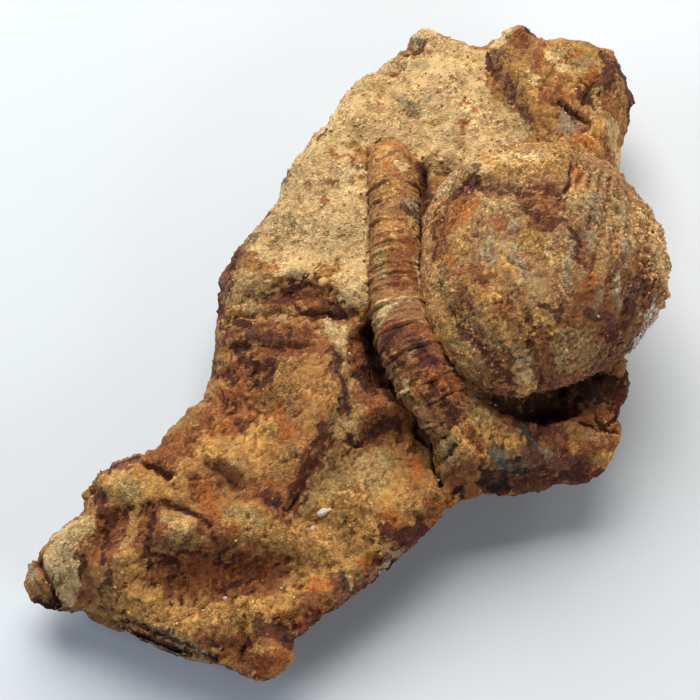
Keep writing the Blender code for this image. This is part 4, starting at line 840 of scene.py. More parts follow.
# %% Strokes that shape the shell, in plan millimetres
# Grooves: points, depth, half width.
SHELL_GROOVES = [
    ([(12.8, 11.8), (11.4, 10.6), (10.2, 9.4), (9.4, 7.8), (9.1, 5.6)], 0.15, 0.25),
    ([(9.4, -1.4), (10.8, -3.4), (12.4, -5.0), (13.8, -6.1), (16.0, -7.2)], 0.25, 0.3),
    ([(22.0, 14.0), (21.8, 11.0), (21.5, 9.6), (20.6, 8.2), (20.0, 6.8)], 0.5, 0.22),
    ([(20.8, 4.8), (22.0, 3.4), (22.7, 1.4)], 0.35, 0.25),
    ([(16.9, -3.4), (17.0, -5.0), (17.2, -7.2)], 0.15, 0.3),
    ([(18.0, -9.6), (18.6, -8.4), (18.4, -7.4)], 0.6, 0.3),
    ([(11.0, 4.6), (12.4, 4.2), (13.0, 3.6)], 0.25, 0.15),
    ([(14.6, 1.0), (16.6, 0.0), (18.2, -0.6)], 0.2, 0.2),
    ([(19.0, -8.0), (21.6, -7.6), (24.4, -6.6), (26.6, -4.8)], 0.35, 0.25),
]
# Small ledges: points, rise of the left side, half width, reach.
SHELL_LEDGES = [
    ([(22.0, 9.6), (20.0, 9.2), (17.0, 9.2), (14.6, 9.7), (12.6, 10.6)], -0.85, 0.55, 2.8),
    ([(21.8, 8.8), (22.4, 11.0), (22.2, 14.0)], 0.5, 0.3, 1.5),
    ([(24.6, -8.0), (27.2, -6.2), (29.2, -3.4)], 0.5, 0.2, 1.2),
    ([(22.0, -5.6), (21.2, -4.2), (19.4, -4.4)], -0.3, 0.3, 1.2),
]
# Dabs: centre, height (a pit is negative), radius.
SHELL_DABS = [
    ((17.6, 5.2), -0.4, 1.3), ((18.8, 4.4), -0.25, 0.8), ((15.0, 7.6), 0.2, 1.2), ((12.4, 3.6), -0.2, 1.6),
    ((16.0, -0.8), 0.25, 1.4), ((11.6, 12.0), 0.5, 0.9), ((12.8, 12.4), 0.4, 0.7), ((16.8, -9.0), 0.9, 1.1),
    ((17.0, 15.0), 0.6, 2.4), ((21.0, 15.4), 0.8, 2.4), ((24.4, 15.2), 0.6, 1.6), ((13.6, 13.4), 0.5, 1.8),
    ((14.6, -8.0), 0.4, 0.8), ((20.6, -6.4), 0.35, 1.5), ((26.2, 14.6), 0.5, 0.8), ((27.4, 13.6), 0.4, 0.8),
    ((23.6, 13.8), -0.4, 0.8), ((29.6, 4.4), 0.5, 1.4), ((30.2, 2.0), 0.5, 1.2), ((28.8, 6.6), 0.4, 1.1),
    ((10.4, -0.4), 0.25, 1.2), ((9.6, 9.0), 0.3, 0.8), ((13.6, -2.8), 0.2, 1.3), ((19.4, 12.6), 0.25, 1.4),
]
print(len(SHELL_GROOVES), "grooves,", len(SHELL_LEDGES), "ledges and", len(SHELL_DABS), "dabs on the shell")

# %% Shape the shell
SHELL_VOXEL = 0.24
SHELL_ROUNDS = 70
SHELL_WANDER = 0.22  # how far noise bends the strokes, in mm
SHELL_CENTRE = np.array((19.0, 3.6))
RIB_BEAK = np.array((29.4, 27.0))
RIB_REACH = 19.0  # mm in front of the beak, where the ribs' spacing is measured
RIB_SPACING = 1.2
RIB_HEIGHT = 0.17
# Where the ribs show, across and then back: from, to, and how softly they rise and fall.
RIBS_ACROSS, RIBS_BACK = (21.4, 28.5, 1.6, 1.5), (-6.0, 14.5, 4.0, 3.0)
SHEET_STEP, SHEET_HEIGHT = 0.8, 0.16
CRUST_BACK = (-1.5, 12.0, 2.5, 3.0)


def carve_shell(shell):
    """Ribs, growth sheets, grooves, ledges and wear on the shell's upper valve."""
    points, normals = read_points(shell), read_normals(shell)
    plan = wandering_plan(points, 1.8, 61, SHELL_WANDER, 2)
    up = smooth((normals[:, 2] + 0.05) / 0.3)
    lift = press(plan, SHELL_GROOVES, 2.0, 1.2, SHELL_LEDGES, 1.5, SHELL_DABS)

    fan = RIB_REACH * (plan[:, 0] - RIB_BEAK[0]) / (RIB_BEAK[1] - plan[:, 1])
    ribs = np.cos(2.0 * pi * fan / RIB_SPACING)
    ribbed = between(plan[:, 0], *RIBS_ACROSS) * between(plan[:, 1], *RIBS_BACK)
    ribbed *= np.clip(1.0 + 0.6 * rough(points, 4.0, 63, 2), 0.2, 1.3)
    lift += RIB_HEIGHT * ribs * ribbed

    reach = np.linalg.norm(points[:, :2] - SHELL_CENTRE, axis=1)
    margin = smooth((reach - 9.6) / 2.0) * smooth((0.4 * points[:, 0] - points[:, 1]) / 6.0)
    sheets = np.abs((reach + 0.3 * rough(points, 3.0, 64, 2)) / SHEET_STEP % 1.0 - 0.5)
    lift += SHEET_HEIGHT * (sheets - 0.25) * margin

    # Sand crust lies in patches, thickest on the right. A layer is a height in mm times a pattern, as before.
    crusty = smooth((points[:, 0] - 26.8) / 2.4) * between(points[:, 1], *CRUST_BACK)
    crust = smooth((rough(points, 3.2, 70, 5) + 0.12 + 0.8 * crusty) / 0.14)
    grain = 0.12 * rough(points, 1.8, 65) + 0.08 * rough(points, 0.7, 66) + 0.10 * chipped(points, 1.4, 68)
    grain += crust * (0.16 + 0.14 * (cells(points, 0.6, 67) - 0.5) + 0.14 * chipped(points, 0.6, 69))
    grain += crusty * (0.45 * rough(points, 1.3, 59, 2) + 0.3 * (cells(points, 1.0, 60) - 0.4) + 0.1)
    points += normals * (lift * up + grain)[:, None]
    write_points(shell, points)
    return ribbed * (0.5 + 0.5 * ribs), crust


shell = fine_copy("brachiopod_shell", "brachiopod_valves", SHELL_VOXEL, SHELL_ROUNDS)
rib_crests, crust_cover = carve_shell(shell)
print("shell carved; crust covers", round(100 * crust_cover.mean()), "% of its points")

# %% Stain the shell
SHELL_STAINS = {
    "ochre": [
        (2.4, [(14.8, 12.6), (20.4, 12.8)]), (1.5, [(13.6, 15.0), (17.4, 16.0), (20.8, 15.2)]),
        (1.5, [(23.4, 11.6), (23.0, 8.8)]), (0.9, [(18.4, 1.8), (20.0, 0.6)]),
        (1.3, [(11.0, 8.6), (10.4, 6.6), (9.8, 3.6)]), (1.2, [(12.0, -1.0), (14.6, 0.6)]),
        (1.0, [(14.6, -4.0), (17.0, -5.6)]), (0.8, [(16.4, 3.2), (18.0, 3.4)]),
        (0.8, [(9.8, 11.2), (8.6, 8.6), (8.0, 5.0)]), (1.4, [(13.6, -2.4), (15.2, -4.6)]),
        (1.1, [(9.4, -1.6), (10.4, -3.8)]), (0.9, [(7.4, 1.0), (8.2, -3.0), (9.6, -5.6), (11.8, -7.6)]),
        (1.0, [(17.8, -5.0), (19.6, -6.0)]), (0.8, [(13.4, -8.6), (16.6, -9.4), (20.6, -8.6)]),
    ],
    "sand": [
        (0.7, [(15.0, 12.8), (17.0, 13.6), (19.4, 12.6)]), (0.5, [(12.2, 12.7), (13.2, 11.9)]),
        (0.6, [(29.6, 7.0), (31.0, 4.4), (31.6, 2.6)]), (0.7, [(26.4, 18.4), (28.6, 15.6), (30.6, 11.6)]),
        (0.4, [(19.0, 1.6), (20.2, 0.6)]), (0.8, [(17.2, -8.2)]), (0.8, [(10.6, 13.4), (9.6, 12.2)]),
    ],
    "khaki": [
        (1.2, [(13.6, 7.4), (15.4, 6.4)]), (1.0, [(13.0, 3.0), (15.6, 1.6)]),
        (1.1, [(20.8, 8.2), (22.4, 7.2)]), (1.0, [(19.8, -6.8), (21.2, -6.4), (22.8, -5.7)]),
        (0.7, [(10.6, -5.2)]), (0.8, [(16.4, -1.2), (17.8, -2.0)]), (1.0, [(26.8, 8.4), (26.4, 4.6)]),
        (0.8, [(24.0, 8.6), (24.4, 5.0)]),
    ],
    "orange": [
        (0.9, [(11.4, 8.0), (10.2, 6.6)]), (0.8, [(22.6, -2.0), (24.0, -1.0)]),
        (0.7, [(22.6, 12.6), (22.8, 10.4)]), (0.6, [(9.8, 2.6), (10.4, 0.8)]),
    ],
    "rust": [
        (1.3, [(17.4, 7.4), (19.4, 6.4), (18.6, 4.8)]), (0.9, [(19.6, 8.4)]),
        (0.8, [(10.8, -1.0), (11.2, -2.4)]), (0.5, [(12.2, -5.4), (13.6, -7.0), (15.8, -8.2)]),
        (1.5, [(22.0, -3.6), (24.6, -4.2), (27.0, -2.6)]), (1.1, [(18.4, -6.4), (18.8, -8.0)]),
        (0.8, [(19.4, -8.8), (23.4, -7.8), (26.6, -6.0)]),
        (0.6, [(12.4, -7.8), (14.4, -9.0), (16.2, -9.6)]), (0.9, [(27.6, -1.0), (29.6, -0.4)]),
        (1.1, [(27.6, -0.2), (28.8, 1.6)]), (0.9, [(12.0, 10.2), (10.4, 8.6), (9.2, 6.0), (8.8, 4.0)]),
        (0.7, [(14.8, -3.4), (16.0, -4.8)]), (0.8, [(12.0, 0.4), (13.2, -0.6)]),
        (0.6, [(15.2, 6.0), (14.6, 5.0)]), (0.8, [(22.6, 4.4), (23.0, 0.6)]),
    ],
    "grey": [
        (0.5, [(14.0, 3.8), (14.2, 3.0)]), (0.4, [(15.6, 4.8), (15.9, 4.2)]),
        (0.45, [(15.5, 2.4), (16.2, 1.0), (17.0, -1.0)]), (0.5, [(13.2, 2.4), (13.4, 1.0)]),
        (0.4, [(21.5, 2.4), (21.0, 0.5), (20.5, -1.4)]), (0.5, [(20.3, -0.6), (20.5, -1.6)]),
        (0.4, [(23.0, 5.8), (22.9, 4.0), (23.5, 2.2)]), (0.5, [(24.2, 8.6), (24.0, 6.6)]),
        (0.35, [(27.2, 3.6), (27.0, 1.0)]),
    ],
    "mauve": [
        (0.26, [(14.2, 9.8), (16.6, 9.3), (18.8, 9.1), (21.0, 9.3)]), (0.7, [(12.6, 10.8), (11.4, 9.8)]),
        (0.5, [(25.2, -0.4), (26.6, 2.0)]), (0.6, [(27.2, -1.6), (28.2, 0.4)]),
        (0.5, [(24.6, -3.4), (26.4, -4.2)]),
        (0.35, [(18.6, -8.5), (21.4, -8.3), (23.6, -7.5), (26.2, -5.9), (28.2, -3.8)]),
    ],
    # Dark is partly stain and partly painted shade: the strokes along the grooves and under the shoulder's
    # ledge are painted shade.
    "dark": [
        (0.28, [(13.0, 11.2), (11.2, 10.8), (9.3, 9.5), (8.6, 7.0), (8.1, 3.8)]),
        (0.22, [(13.0, 10.3), (14.8, 8.9), (17.0, 8.1), (19.5, 8.5), (21.6, 9.6)]),
        (0.24, [(22.0, 13.6), (21.8, 11.0), (21.5, 9.6), (20.6, 8.2), (20.0, 6.8)]),
        (0.3, [(18.8, 5.8), (20.0, 5.0)]), (0.35, [(17.4, 6.8), (18.6, 5.6)]),
        (0.3, [(19.2, 3.8), (20.0, 4.6)]), (0.3, [(20.6, 4.6), (21.3, 3.6), (22.2, 1.5), (22.8, -0.2)]),
        (0.4, [(22.4, -3.5), (24.0, -3.7)]), (0.4, [(25.0, -5.0), (27.0, -3.2), (28.0, -1.6)]),
        (0.2, [(10.8, -4.0), (12.6, -6.4), (15.2, -8.2), (16.0, -9.2)]),
        (0.35, [(15.6, -8.8), (14.4, -8.6)]), (0.3, [(16.9, -3.8), (17.1, -5.4), (17.2, -6.8)]),
        (0.5, [(18.4, -3.6), (20.0, -3.9)]), (0.35, [(12.2, -9.0), (14.0, -9.8), (16.2, -10.2)]),
        (0.3, [(29.6, 0.4), (30.0, 2.0)]), (0.35, [(11.4, 12.6), (12.8, 12.2)]),
    ],
    "pale": [(0.5, [(30.4, -0.8), (29.5, -2.8), (28.3, -4.6)])],
}
CREST_GREY = 0.62  # bare calcite shows on the ribs' crests

write_mask(shell, "hollow", hollows(shell, 4))
write_mask(shell, "valley", hollows(shell, 90))
write_mask(shell, "crust", crust_cover)
paint(shell, SHELL_STAINS)
write_mask(shell, "grey", np.maximum(CREST_GREY * rib_crests, read_mask(shell, "grey")))
print("painted", ", ".join(SHELL_STAINS))

# %% [markdown]
# ## Sand, crumbs and chips
#
# Loose sand sticks to the stone, thickest on its pale face, and coarse crumbs hang on the shell's right
# edge. One grain is modelled from an icosphere, and copies of it are turned, squashed and half sunk into
# the surface. They are joined to one mesh. White shell chips and a round pebble are larger, and an eye
# finds them first, so each is a piece.


# %% Scatter grains on a surface
GRAIN_LUMPS = 0.22
WIDTHS, HEIGHTS = (0.7, 1.0), (0.5, 0.8)  # a grain's other two radii, as shares of its first
STANDS_OUT = (-0.1, 0.3)  # how far its middle lies above the surface, as a share of its radius


def grain_template():
    """One grain's points and faces: an icosphere of 80 faces, with a few points pushed in."""
    deselect_all()
    bpy.ops.mesh.primitive_ico_sphere_add(subdivisions=2, radius=1.0)
    ball = bpy.context.object
    points = np.array([tuple(v.co) for v in ball.data.vertices])
    points *= 1.0 + GRAIN_LUMPS * rough(points, 1.1, 71, 2)[:, None]
    faces = np.array([tuple(face.vertices) for face in ball.data.polygons])
    bpy.data.objects.remove(ball)
    return points, faces


def scatter(name, hosts, sizes, seed):
    """Grains on surfaces: hosts gives (piece, weights, how many), sizes the least and greatest radius."""
    chance = np.random.default_rng(seed)
    shape, faces = grain_template()
    all_points, all_faces, tones = [], [], []
    for host, weights, count in hosts:
        points, normals = read_points(host), read_normals(host)
        picked = chance.choice(len(points), count, p=weights / weights.sum())
        for index in picked:
            radius = sizes[0] + (sizes[1] - sizes[0]) * chance.random() ** 3
            turn, _ = np.linalg.qr(chance.normal(size=(3, 3)))
            squash = radius * np.array((1.0, chance.uniform(*WIDTHS), chance.uniform(*HEIGHTS)))
            place = points[index] + normals[index] * radius * chance.uniform(*STANDS_OUT)
            all_faces.append(faces + len(all_points) * len(shape))
            all_points.append((shape * squash) @ turn * np.sign(np.linalg.det(turn)) + place)
            tones.append(np.full(len(shape), chance.random()))
    mesh = bpy.data.meshes.new(name)
    mesh.from_pydata((np.concatenate(all_points) * MM).tolist(), [], np.concatenate(all_faces).tolist())
    grains = bpy.data.objects.new(name, mesh)
    bpy.context.scene.collection.objects.link(grains)
    write_mask(grains, "tone", np.concatenate(tones))
    select_only(grains)
    bpy.ops.object.shade_smooth()
    print(name, "has", len(all_points), "grains")
    return grains


# %% Sand and crumbs
SAND_SIZES, CRUMB_SIZES = (0.06, 0.22), (0.12, 0.34)
SAND_ON_STONE, SAND_ON_SHELL = 1250, 350
CRUMBS_ON_SHELL, CRUMBS_ON_STONE = 190, 60
EDGE_BACK = (-0.5, 11.0, 2.0, 3.0)  # the shell's crumbly right edge, front to back: from, to, rise and fall

stone_points, shell_points = read_points(stone), read_points(shell)
stone_open = smooth(read_normals(stone)[:, 2] / 0.5) * smooth((stone_points[:, 2] - 6.0) / 3.0)
shell_open = smooth(read_normals(shell)[:, 2] / 0.4)
stone_sand = (0.02 + read_mask(stone, "sand") + 0.12 * read_mask(stone, "ochre")) * stone_open
shell_sand = 0.1 * shell_open + read_mask(shell, "sand") * shell_open
right_edge = smooth((shell_points[:, 0] - 27.6) / 1.6) * between(shell_points[:, 1], *EDGE_BACK)
right_edge *= smooth((shell_points[:, 2] - 13.6) / 1.0)
sand_hosts = [(stone, stone_sand, SAND_ON_STONE), (shell, shell_sand, SAND_ON_SHELL)]
open_sand = stone_open * read_mask(stone, "sand")
crumb_hosts = [(shell, right_edge, CRUMBS_ON_SHELL), (stone, open_sand, CRUMBS_ON_STONE)]
sand = scatter("sand_grains", sand_hosts, SAND_SIZES, 5)
crumbs = scatter("shell_crumbs", crumb_hosts, CRUMB_SIZES, 6)

# %% Chips and a pebble
TOP_SIDE = 5.0  # the stone's points above this height, in mm, are its upper side
BLUNT = 0.75  # below 1, this power fills a ball's corners


def lay_chip(name, centre, half_sizes, turn, seed, host, lumps=0.45):
    """A chip laid on the host's surface below a plan point: an icosphere, squashed, turned and worn."""
    deselect_all()
    bpy.ops.mesh.primitive_ico_sphere_add(subdivisions=4, radius=1.0)
    chip = bpy.context.object
    chip.name = name
    points = np.array([tuple(v.co) for v in chip.data.vertices])
    points = np.sign(points) * np.abs(points) ** BLUNT * (1.0 + lumps * rough(points, 0.9, seed)[:, None])
    points *= np.array(half_sizes)
    across = points[:, 0] * cos(turn) - points[:, 1] * sin(turn)
    points[:, 1] = points[:, 0] * sin(turn) + points[:, 1] * cos(turn)
    points[:, 0] = across
    ground = read_points(host)
    near = np.linalg.norm(ground[:, :2] - np.array(centre), axis=1) < max(half_sizes[:2])
    floor_height = ground[near & (ground[:, 2] > TOP_SIDE), 2].mean()
    write_points(chip, points + np.array((*centre, floor_height + 0.45 * half_sizes[2])))
    bpy.ops.object.shade_smooth()
    return chip


chips = [
    lay_chip("white_chip", (-2.6, -20.3), (0.68, 0.28, 0.26), radians(24), 81, stone),
    lay_chip("small_white_chip", (-3.6, -21.8), (0.26, 0.2, 0.18), radians(60), 82, stone),
    lay_chip("tiny_white_chip", (-12.1, -28.6), (0.2, 0.16, 0.16), radians(10), 83, stone),
]
pebble = lay_chip("tan_pebble", (-2.7, 2.9), (0.5, 0.42, 0.42), radians(30), 84, stone, 0.05)
print("laid", [chip.name for chip in chips], "and", pebble.name)

# %% [markdown]
# ## Materials
#
# All of the surfaces are mineral and matt: siltstone is quartz silt with clay and iron oxide, and the
# fossils are calcite stained by the same iron. So one recipe serves them all: a base colour, a layer of
# colour for each painted stain with its edge frayed by noise, painted shade in hollows, a painted highlight
# on crests, grain-sized light and dark that clay calms in patches, with painted shade in the grains' seams,
# and a crumbly bump. IOR is that of quartz and calcite, about 1.55, and roughness is near 1, because a
# broken grainy face scatters light.


# %% Colour and node helpers
def linear(code):
    """An sRGB hex colour as linear red, green, blue and alpha."""
    channels = [int(code[k : k + 2], 16) / 255 for k in (1, 3, 5)]
    return (*(c / 12.92 if c <= 0.04045 else ((c + 0.055) / 1.055) ** 2.4 for c in channels), 1.0)


def add_node(tree, kind, settings, inputs):
    """Adds a node with its settings; an input is a value, or another node's socket to link."""
    node = tree.nodes.new(kind)
    for name, value in settings.items():
        setattr(node, name, value)
    for name, value in inputs.items():
        if isinstance(value, bpy.types.NodeSocket):
            tree.links.new(value, node.inputs[name])
        else:
            node.inputs[name].default_value = value
    return node


def per_mm(size):
    """A noise scale, in Blender's metres, whose lumps are about the given size in millimetres."""
    return 1.0 / (size * MM)


# %% Lay colours over one another, and shade them
def lay_colours(tree, colour, layers):
    """Each layer is a value, where on it the layer begins and is full, its greatest share, and a colour."""
    for value, begins, full, most, code in layers:
        ranges = {"Value": value, "From Min": begins, "From Max": full, "To Max": most}
        share = add_node(tree, "ShaderNodeMapRange", {}, ranges).outputs[0]
        both = {0: share, 6: colour, 7: linear(code)}
        colour = add_node(tree, "ShaderNodeMix", {"data_type": "RGBA"}, both).outputs[2]
    return colour


def shade_colour(tree, colour, shades):
    """Each shade is a value, the range of it that counts, and the brightness at both ends of that."""
    for value, low, high, at_low, at_high in shades:
        ranges = {"Value": value, "From Min": low, "From Max": high, "To Min": at_low, "To Max": at_high}
        bright = add_node(tree, "ShaderNodeMapRange", {}, ranges).outputs[0]
        scaled = {0: colour, "Scale": bright}
        colour = add_node(tree, "ShaderNodeVectorMath", {"operation": "SCALE"}, scaled).outputs[0]
    return colour


# %% Colours and patterns of weathered mineral
# Each stain's colour, and how much of the stone's own colour it hides.
STAIN_COLOURS = {
    "crust": ("#A8824F", 0.55),
    "ochre": ("#BC8D4C", 0.75),
    "sand": ("#D0B27E", 0.85),
    "khaki": ("#A68D5C", 0.7),
    "orange": ("#A85A24", 0.75),
    "rust": ("#7E4324", 0.8),
    "grey": ("#968A70", 0.7),
    "mauve": ("#5E3A33", 0.8),
    # dark is partly stain and partly painted shade, and black_shade is painted shadow and shade.
    "dark": ("#3F1C17", 0.9),
    "black_shade": ("#07060A", 0.97),
    "teal": ("#46534F", 0.8),
    "pale": ("#DED6C6", 0.85),
}
# Dust is rust; the valley and hollow colours are painted shade, darker where less light reaches.
DUST_RUST, VALLEY_SHADE, HOLLOW_SHADE = "#74401F", "#68361C", "#471F10"
FRAY = 4.2  # how far noise moves a stain's edge
STAIN_EDGE = (0.3, 0.6)  # where on its frayed mask a stain begins and is full
# How much brighter crests are: partly their wear, partly a painted highlight.
CREST_HIGHLIGHT = 1.24
CLAY_CALM, SAND_CALM = 0.55, 0.2  # how much of the grains' light and dark clay and pale sand take away
# Noises: size of the lumps in mm, detail and roughness.
NOISES = {
    "broad": (5.0, 4.0, 0.5),
    "fray": (1.3, 3.5, 0.65),
    "mottle": (1.1, 3.0, 0.65),
    "silt": (0.5, 2.0, 0.6),
    "clay": (3.5, 2.0, 0.5),
    "crumbs": (0.7, 4.0, 0.8),
}
print("stains:", list(STAIN_COLOURS))


# %% One recipe for weathered mineral
def weathered(name, base, stains, cover, grain, contrast, dust, bump_depth):
    """Stained, grainy mineral: base colour, stains, dust, painted shade in hollows, worn crests with a
    painted highlight, grains and crumbs.
    """
    material = bpy.data.materials.new(name)
    material.use_nodes = True
    tree = material.node_tree
    shader = tree.nodes["Principled BSDF"]
    place = add_node(tree, "ShaderNodeTexCoord", {}, {}).outputs["Object"]
    masks = {}
    for key in [*stains, "hollow", "valley"]:
        masks[key] = add_node(tree, "ShaderNodeAttribute", {"attribute_name": key}, {}).outputs["Fac"]
    noises = {}
    for key, (size, detail, roughness) in NOISES.items():
        inputs = {"Vector": place, "Scale": per_mm(size), "Detail": detail, "Roughness": roughness}
        noises[key] = add_node(tree, "ShaderNodeTexNoise", {}, inputs).outputs
    grains = add_node(tree, "ShaderNodeTexVoronoi", {}, {"Vector": place, "Scale": per_mm(grain)}).outputs

    # The stone's own two colours, then a layer for each stain. A noise's three channels fray them in turn.
    both = {0: noises["broad"]["Fac"], 6: linear(base[0]), 7: linear(base[1])}
    colour = add_node(tree, "ShaderNodeMix", {"data_type": "RGBA"}, both).outputs[2]
    spread = {0: noises["fray"]["Color"], 1: 3 * (FRAY,), 2: 3 * (1.0 - 0.5 * FRAY,)}
    ragged = add_node(tree, "ShaderNodeVectorMath", {"operation": "MULTIPLY_ADD"}, spread).outputs[0]
    frays = add_node(tree, "ShaderNodeSeparateXYZ", {}, {0: ragged}).outputs
    layers = []
    for k, stain in enumerate(stains):
        code, strength = STAIN_COLOURS[stain]
        frayed = {0: frays[k % 3], 1: masks[stain]}
        edge = add_node(tree, "ShaderNodeMath", {"operation": "MULTIPLY"}, frayed).outputs[0]
        layers.append((edge, *STAIN_EDGE, strength * cover, code))
    layers.append((noises["mottle"]["Fac"], 0.5, 0.62, dust, DUST_RUST))
    # Painted shade: broad valleys and small hollows are darkened.
    layers.append((masks["valley"], 0.6, 1.0, 0.28, VALLEY_SHADE))
    layers.append((masks["hollow"], 0.56, 0.84, 0.65, HOLLOW_SHADE))
    plain = lay_colours(tree, colour, layers)

    # Crests are worn and get a painted highlight, each grain has its own tone, the seams between grains
    # get painted shade, and silt speckles it all.
    shades = [
        (masks["hollow"], 0.1, 0.45, CREST_HIGHLIGHT, 1.0),
        (grains["Color"], 0.2, 0.8, 1.0 - contrast, 1.0 + contrast),
        (grains["Distance"], 0.4, 0.85, 1.0, 1.0 - contrast),
        (noises["silt"]["Fac"], 0.34, 0.66, 1.0 - contrast, 1.0 + contrast),
    ]
    grainy = shade_colour(tree, plain, shades)

    # Where clay fills the grain, and a little on pale sand, the plain colour comes through.
    clay = noises["clay"]["Fac"]
    ranges = {"Value": clay, "From Min": 0.4, "From Max": 0.6, "To Min": CLAY_CALM, "To Max": 0.0}
    calm = add_node(tree, "ShaderNodeMapRange", {}, ranges).outputs[0]
    settings = {"operation": "MULTIPLY_ADD", "use_clamp": True}
    calm = add_node(tree, "ShaderNodeMath", settings, {0: masks["sand"], 1: SAND_CALM, 2: calm}).outputs[0]
    both = {0: calm, 6: grainy, 7: plain}
    colour = add_node(tree, "ShaderNodeMix", {"data_type": "RGBA"}, both).outputs[2]
    tree.links.new(colour, shader.inputs["Base Color"])

    # The bump is crumbs and rounded grains, stronger on some broad patches than on others.
    heights = {0: grains["Distance"], 1: -0.2, 2: noises["crumbs"]["Fac"]}
    relief = add_node(tree, "ShaderNodeMath", {"operation": "MULTIPLY_ADD"}, heights).outputs[0]
    broad = noises["broad"]["Fac"]
    ranges = {"Value": broad, "From Min": 0.38, "From Max": 0.62, "To Min": 0.45, "To Max": 1.0}
    worn = add_node(tree, "ShaderNodeMapRange", {}, ranges).outputs[0]
    bumps = {"Strength": worn, "Distance": bump_depth * MM, "Height": relief}
    bump = add_node(tree, "ShaderNodeBump", {}, bumps)
    tree.links.new(bump.outputs["Normal"], shader.inputs["Normal"])
    shader.inputs["Roughness"].default_value = 0.92
    shader.inputs["IOR"].default_value = 1.55
    shader.inputs["Specular IOR Level"].default_value = 0.25
    return material


# %% Weathered stone, stem and shell; grain sizes and bump depths are in mm
STONE_LAYERS = ["ochre", "sand", "khaki", "orange", "rust", "mauve", "grey", "dark", "black_shade", "teal"]
STEM_LAYERS = ["ochre", "sand", "khaki", "orange", "rust", "grey", "mauve", "dark"]
SHELL_LAYERS = ["crust", *STEM_LAYERS, "pale"]
siltstone = weathered(
    "iron-stained siltstone", ("#8E5F31", "#AE8049"), STONE_LAYERS,
    cover=0.95, grain=0.24, contrast=0.36, dust=0.4, bump_depth=0.9,
)
stem_calcite = weathered(
    "rust-stained stem calcite", ("#8E6038", "#AC7D4D"), STEM_LAYERS,
    cover=0.9, grain=0.22, contrast=0.4, dust=0.3, bump_depth=0.8,
)
shell_calcite = weathered(
    "weathered shell calcite", ("#8E6540", "#AA8256"), SHELL_LAYERS,
    cover=0.85, grain=0.24, contrast=0.46, dust=0.45, bump_depth=0.9,
)
print("mixed", siltstone.name, "with", len(siltstone.node_tree.nodes), "nodes")


# %% Loose grains
def grain_material(name, dark, light):
    """Loose quartz sand: each grain its own shade, between two colours."""
    material = bpy.data.materials.new(name)
    material.use_nodes = True
    tree = material.node_tree
    shader = tree.nodes["Principled BSDF"]
    place = add_node(tree, "ShaderNodeTexCoord", {}, {}).outputs["Object"]
    tone = add_node(tree, "ShaderNodeAttribute", {"attribute_name": "tone"}, {}).outputs["Fac"]
    inputs = {"Vector": place, "Scale": per_mm(0.2), "Detail": 4.0}
    speck = add_node(tree, "ShaderNodeTexNoise", {}, inputs).outputs["Fac"]
    speckled = {0: speck, 1: 0.6, 2: tone}
    shade = add_node(tree, "ShaderNodeMath", {"operation": "MULTIPLY_ADD"}, speckled).outputs[0]
    ranges = {"Value": shade, "From Min": 0.3, "From Max": 1.3}
    share = add_node(tree, "ShaderNodeMapRange", {}, ranges).outputs[0]
    both = {0: share, 6: linear(dark), 7: linear(light)}
    colour = add_node(tree, "ShaderNodeMix", {"data_type": "RGBA"}, both).outputs[2]
    tree.links.new(colour, shader.inputs["Base Color"])
    bump = add_node(tree, "ShaderNodeBump", {}, {"Strength": 0.6, "Distance": 0.05 * MM, "Height": speck})
    tree.links.new(bump.outputs["Normal"], shader.inputs["Normal"])
    shader.inputs["Roughness"].default_value = 0.8
    shader.inputs["IOR"].default_value = 1.55
    return material


quartz_sand = grain_material("loose quartz sand", "#99713F", "#D0AE78")
white_calcite = grain_material("white calcite chip", "#B9AD98", "#E6DED0")
tan_quartz = grain_material("tan quartz pebble", "#B98F55", "#D6B27A")
print("mixed", [material.name for material in (quartz_sand, white_calcite, tan_quartz)])


# %% Dress the pieces
def dress(piece, material, replaced=()):
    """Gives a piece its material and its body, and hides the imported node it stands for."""
    piece.data.materials.clear()
    piece.data.materials.append(material)
    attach(piece, "root")
    if replaced:
        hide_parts(*replaced)


dress(stone, siltstone, ["matrix_rock"])
dress(stem, stem_calcite, ["crinoid_stem"])
dress(shell, shell_calcite, ["brachiopod_shell"])
for grains in (sand, crumbs):
    dress(grains, quartz_sand)
for chip in chips:
    dress(chip, white_calcite)
dress(pebble, tan_quartz)
print("dressed", [piece.name for piece in (stone, stem, shell, sand, crumbs, *chips, pebble)])

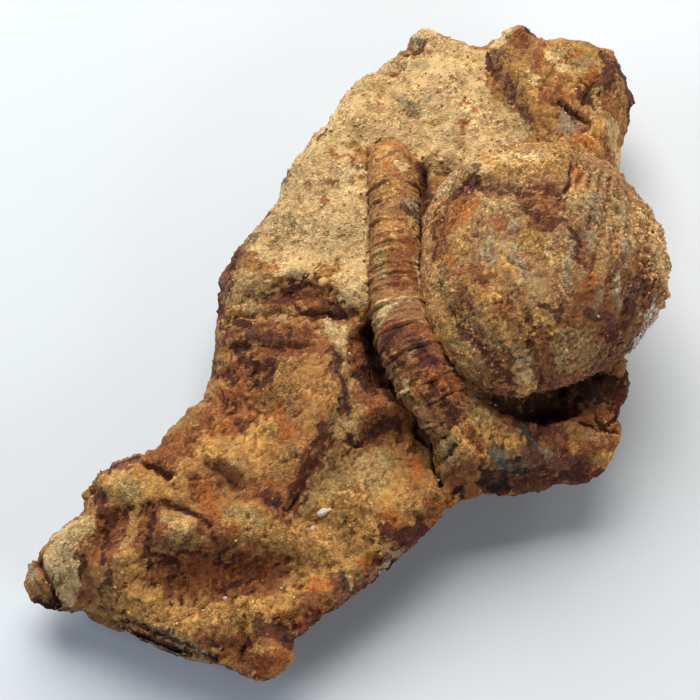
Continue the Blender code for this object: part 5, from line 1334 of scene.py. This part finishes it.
# %% [markdown]
# ## Paper and light
#
# The specimen lies on white paper by a window: one broad soft light from behind and a little to the left.
# The wall on the left throws back a cool light, the walls behind and in front throw back a warm one and a
# grey one, and the room's pale light comes from everywhere else. The shadow falls to the front.

# %% Paper
PAPER_SIZE = 1.2
PAPER_DROP = -0.00002  # just under the stone, so that the two faces don't fight

deselect_all()
bpy.ops.mesh.primitive_plane_add(size=PAPER_SIZE, location=(0.0, 0.0, PAPER_DROP))
paper = bpy.context.object
paper.name = "paper"
paper_white = bpy.data.materials.new("matt white paper")
paper_white.use_nodes = True
paper_shader = paper_white.node_tree.nodes["Principled BSDF"]
paper_shader.inputs["Base Color"].default_value = linear("#C0C6CD")
paper_shader.inputs["Roughness"].default_value = 0.9
paper_shader.inputs["Specular IOR Level"].default_value = 0.2
paper.data.materials.append(paper_white)
print("paper laid,", PAPER_SIZE, "m wide")

# %% Light
LIGHT_DISTANCE = 0.5
ROOM_STRENGTH = 0.045
# Where each light comes from, its size (m), its power (W) and its colour.
LIGHTS = {
    "window": ((-0.08, 0.6, 0.76), 0.45, 5.1, (1.0, 0.95, 0.86)),
    "wall on the left": ((-0.93, 0.0, 0.37), 0.28, 1.2, (0.62, 0.8, 1.0)),
    "wall behind": ((0.66, 0.66, 0.37), 0.28, 0.6, (1.0, 0.93, 0.82)),
    "wall in front": ((0.66, -0.66, 0.37), 0.28, 1.35, (0.93, 0.93, 0.95)),
}
for name, (source, size, power, tint) in LIGHTS.items():
    deselect_all()
    bpy.ops.object.light_add(type="AREA", location=Vector(source).normalized() * LIGHT_DISTANCE)
    light = bpy.context.object
    light.name = name
    light.rotation_euler = (-Vector(source)).to_track_quat("-Z", "Y").to_euler()
    light.data.size, light.data.energy, light.data.color = size, power, tint
room = bpy.data.worlds.new("pale room")
bpy.context.scene.world = room
room.use_nodes = True
room.node_tree.nodes["Background"].inputs["Color"].default_value = linear("#C8DCF8")
room.node_tree.nodes["Background"].inputs["Strength"].default_value = ROOM_STRENGTH
bpy.context.scene.view_settings.view_transform = "Standard"
print("lights:", list(LIGHTS))
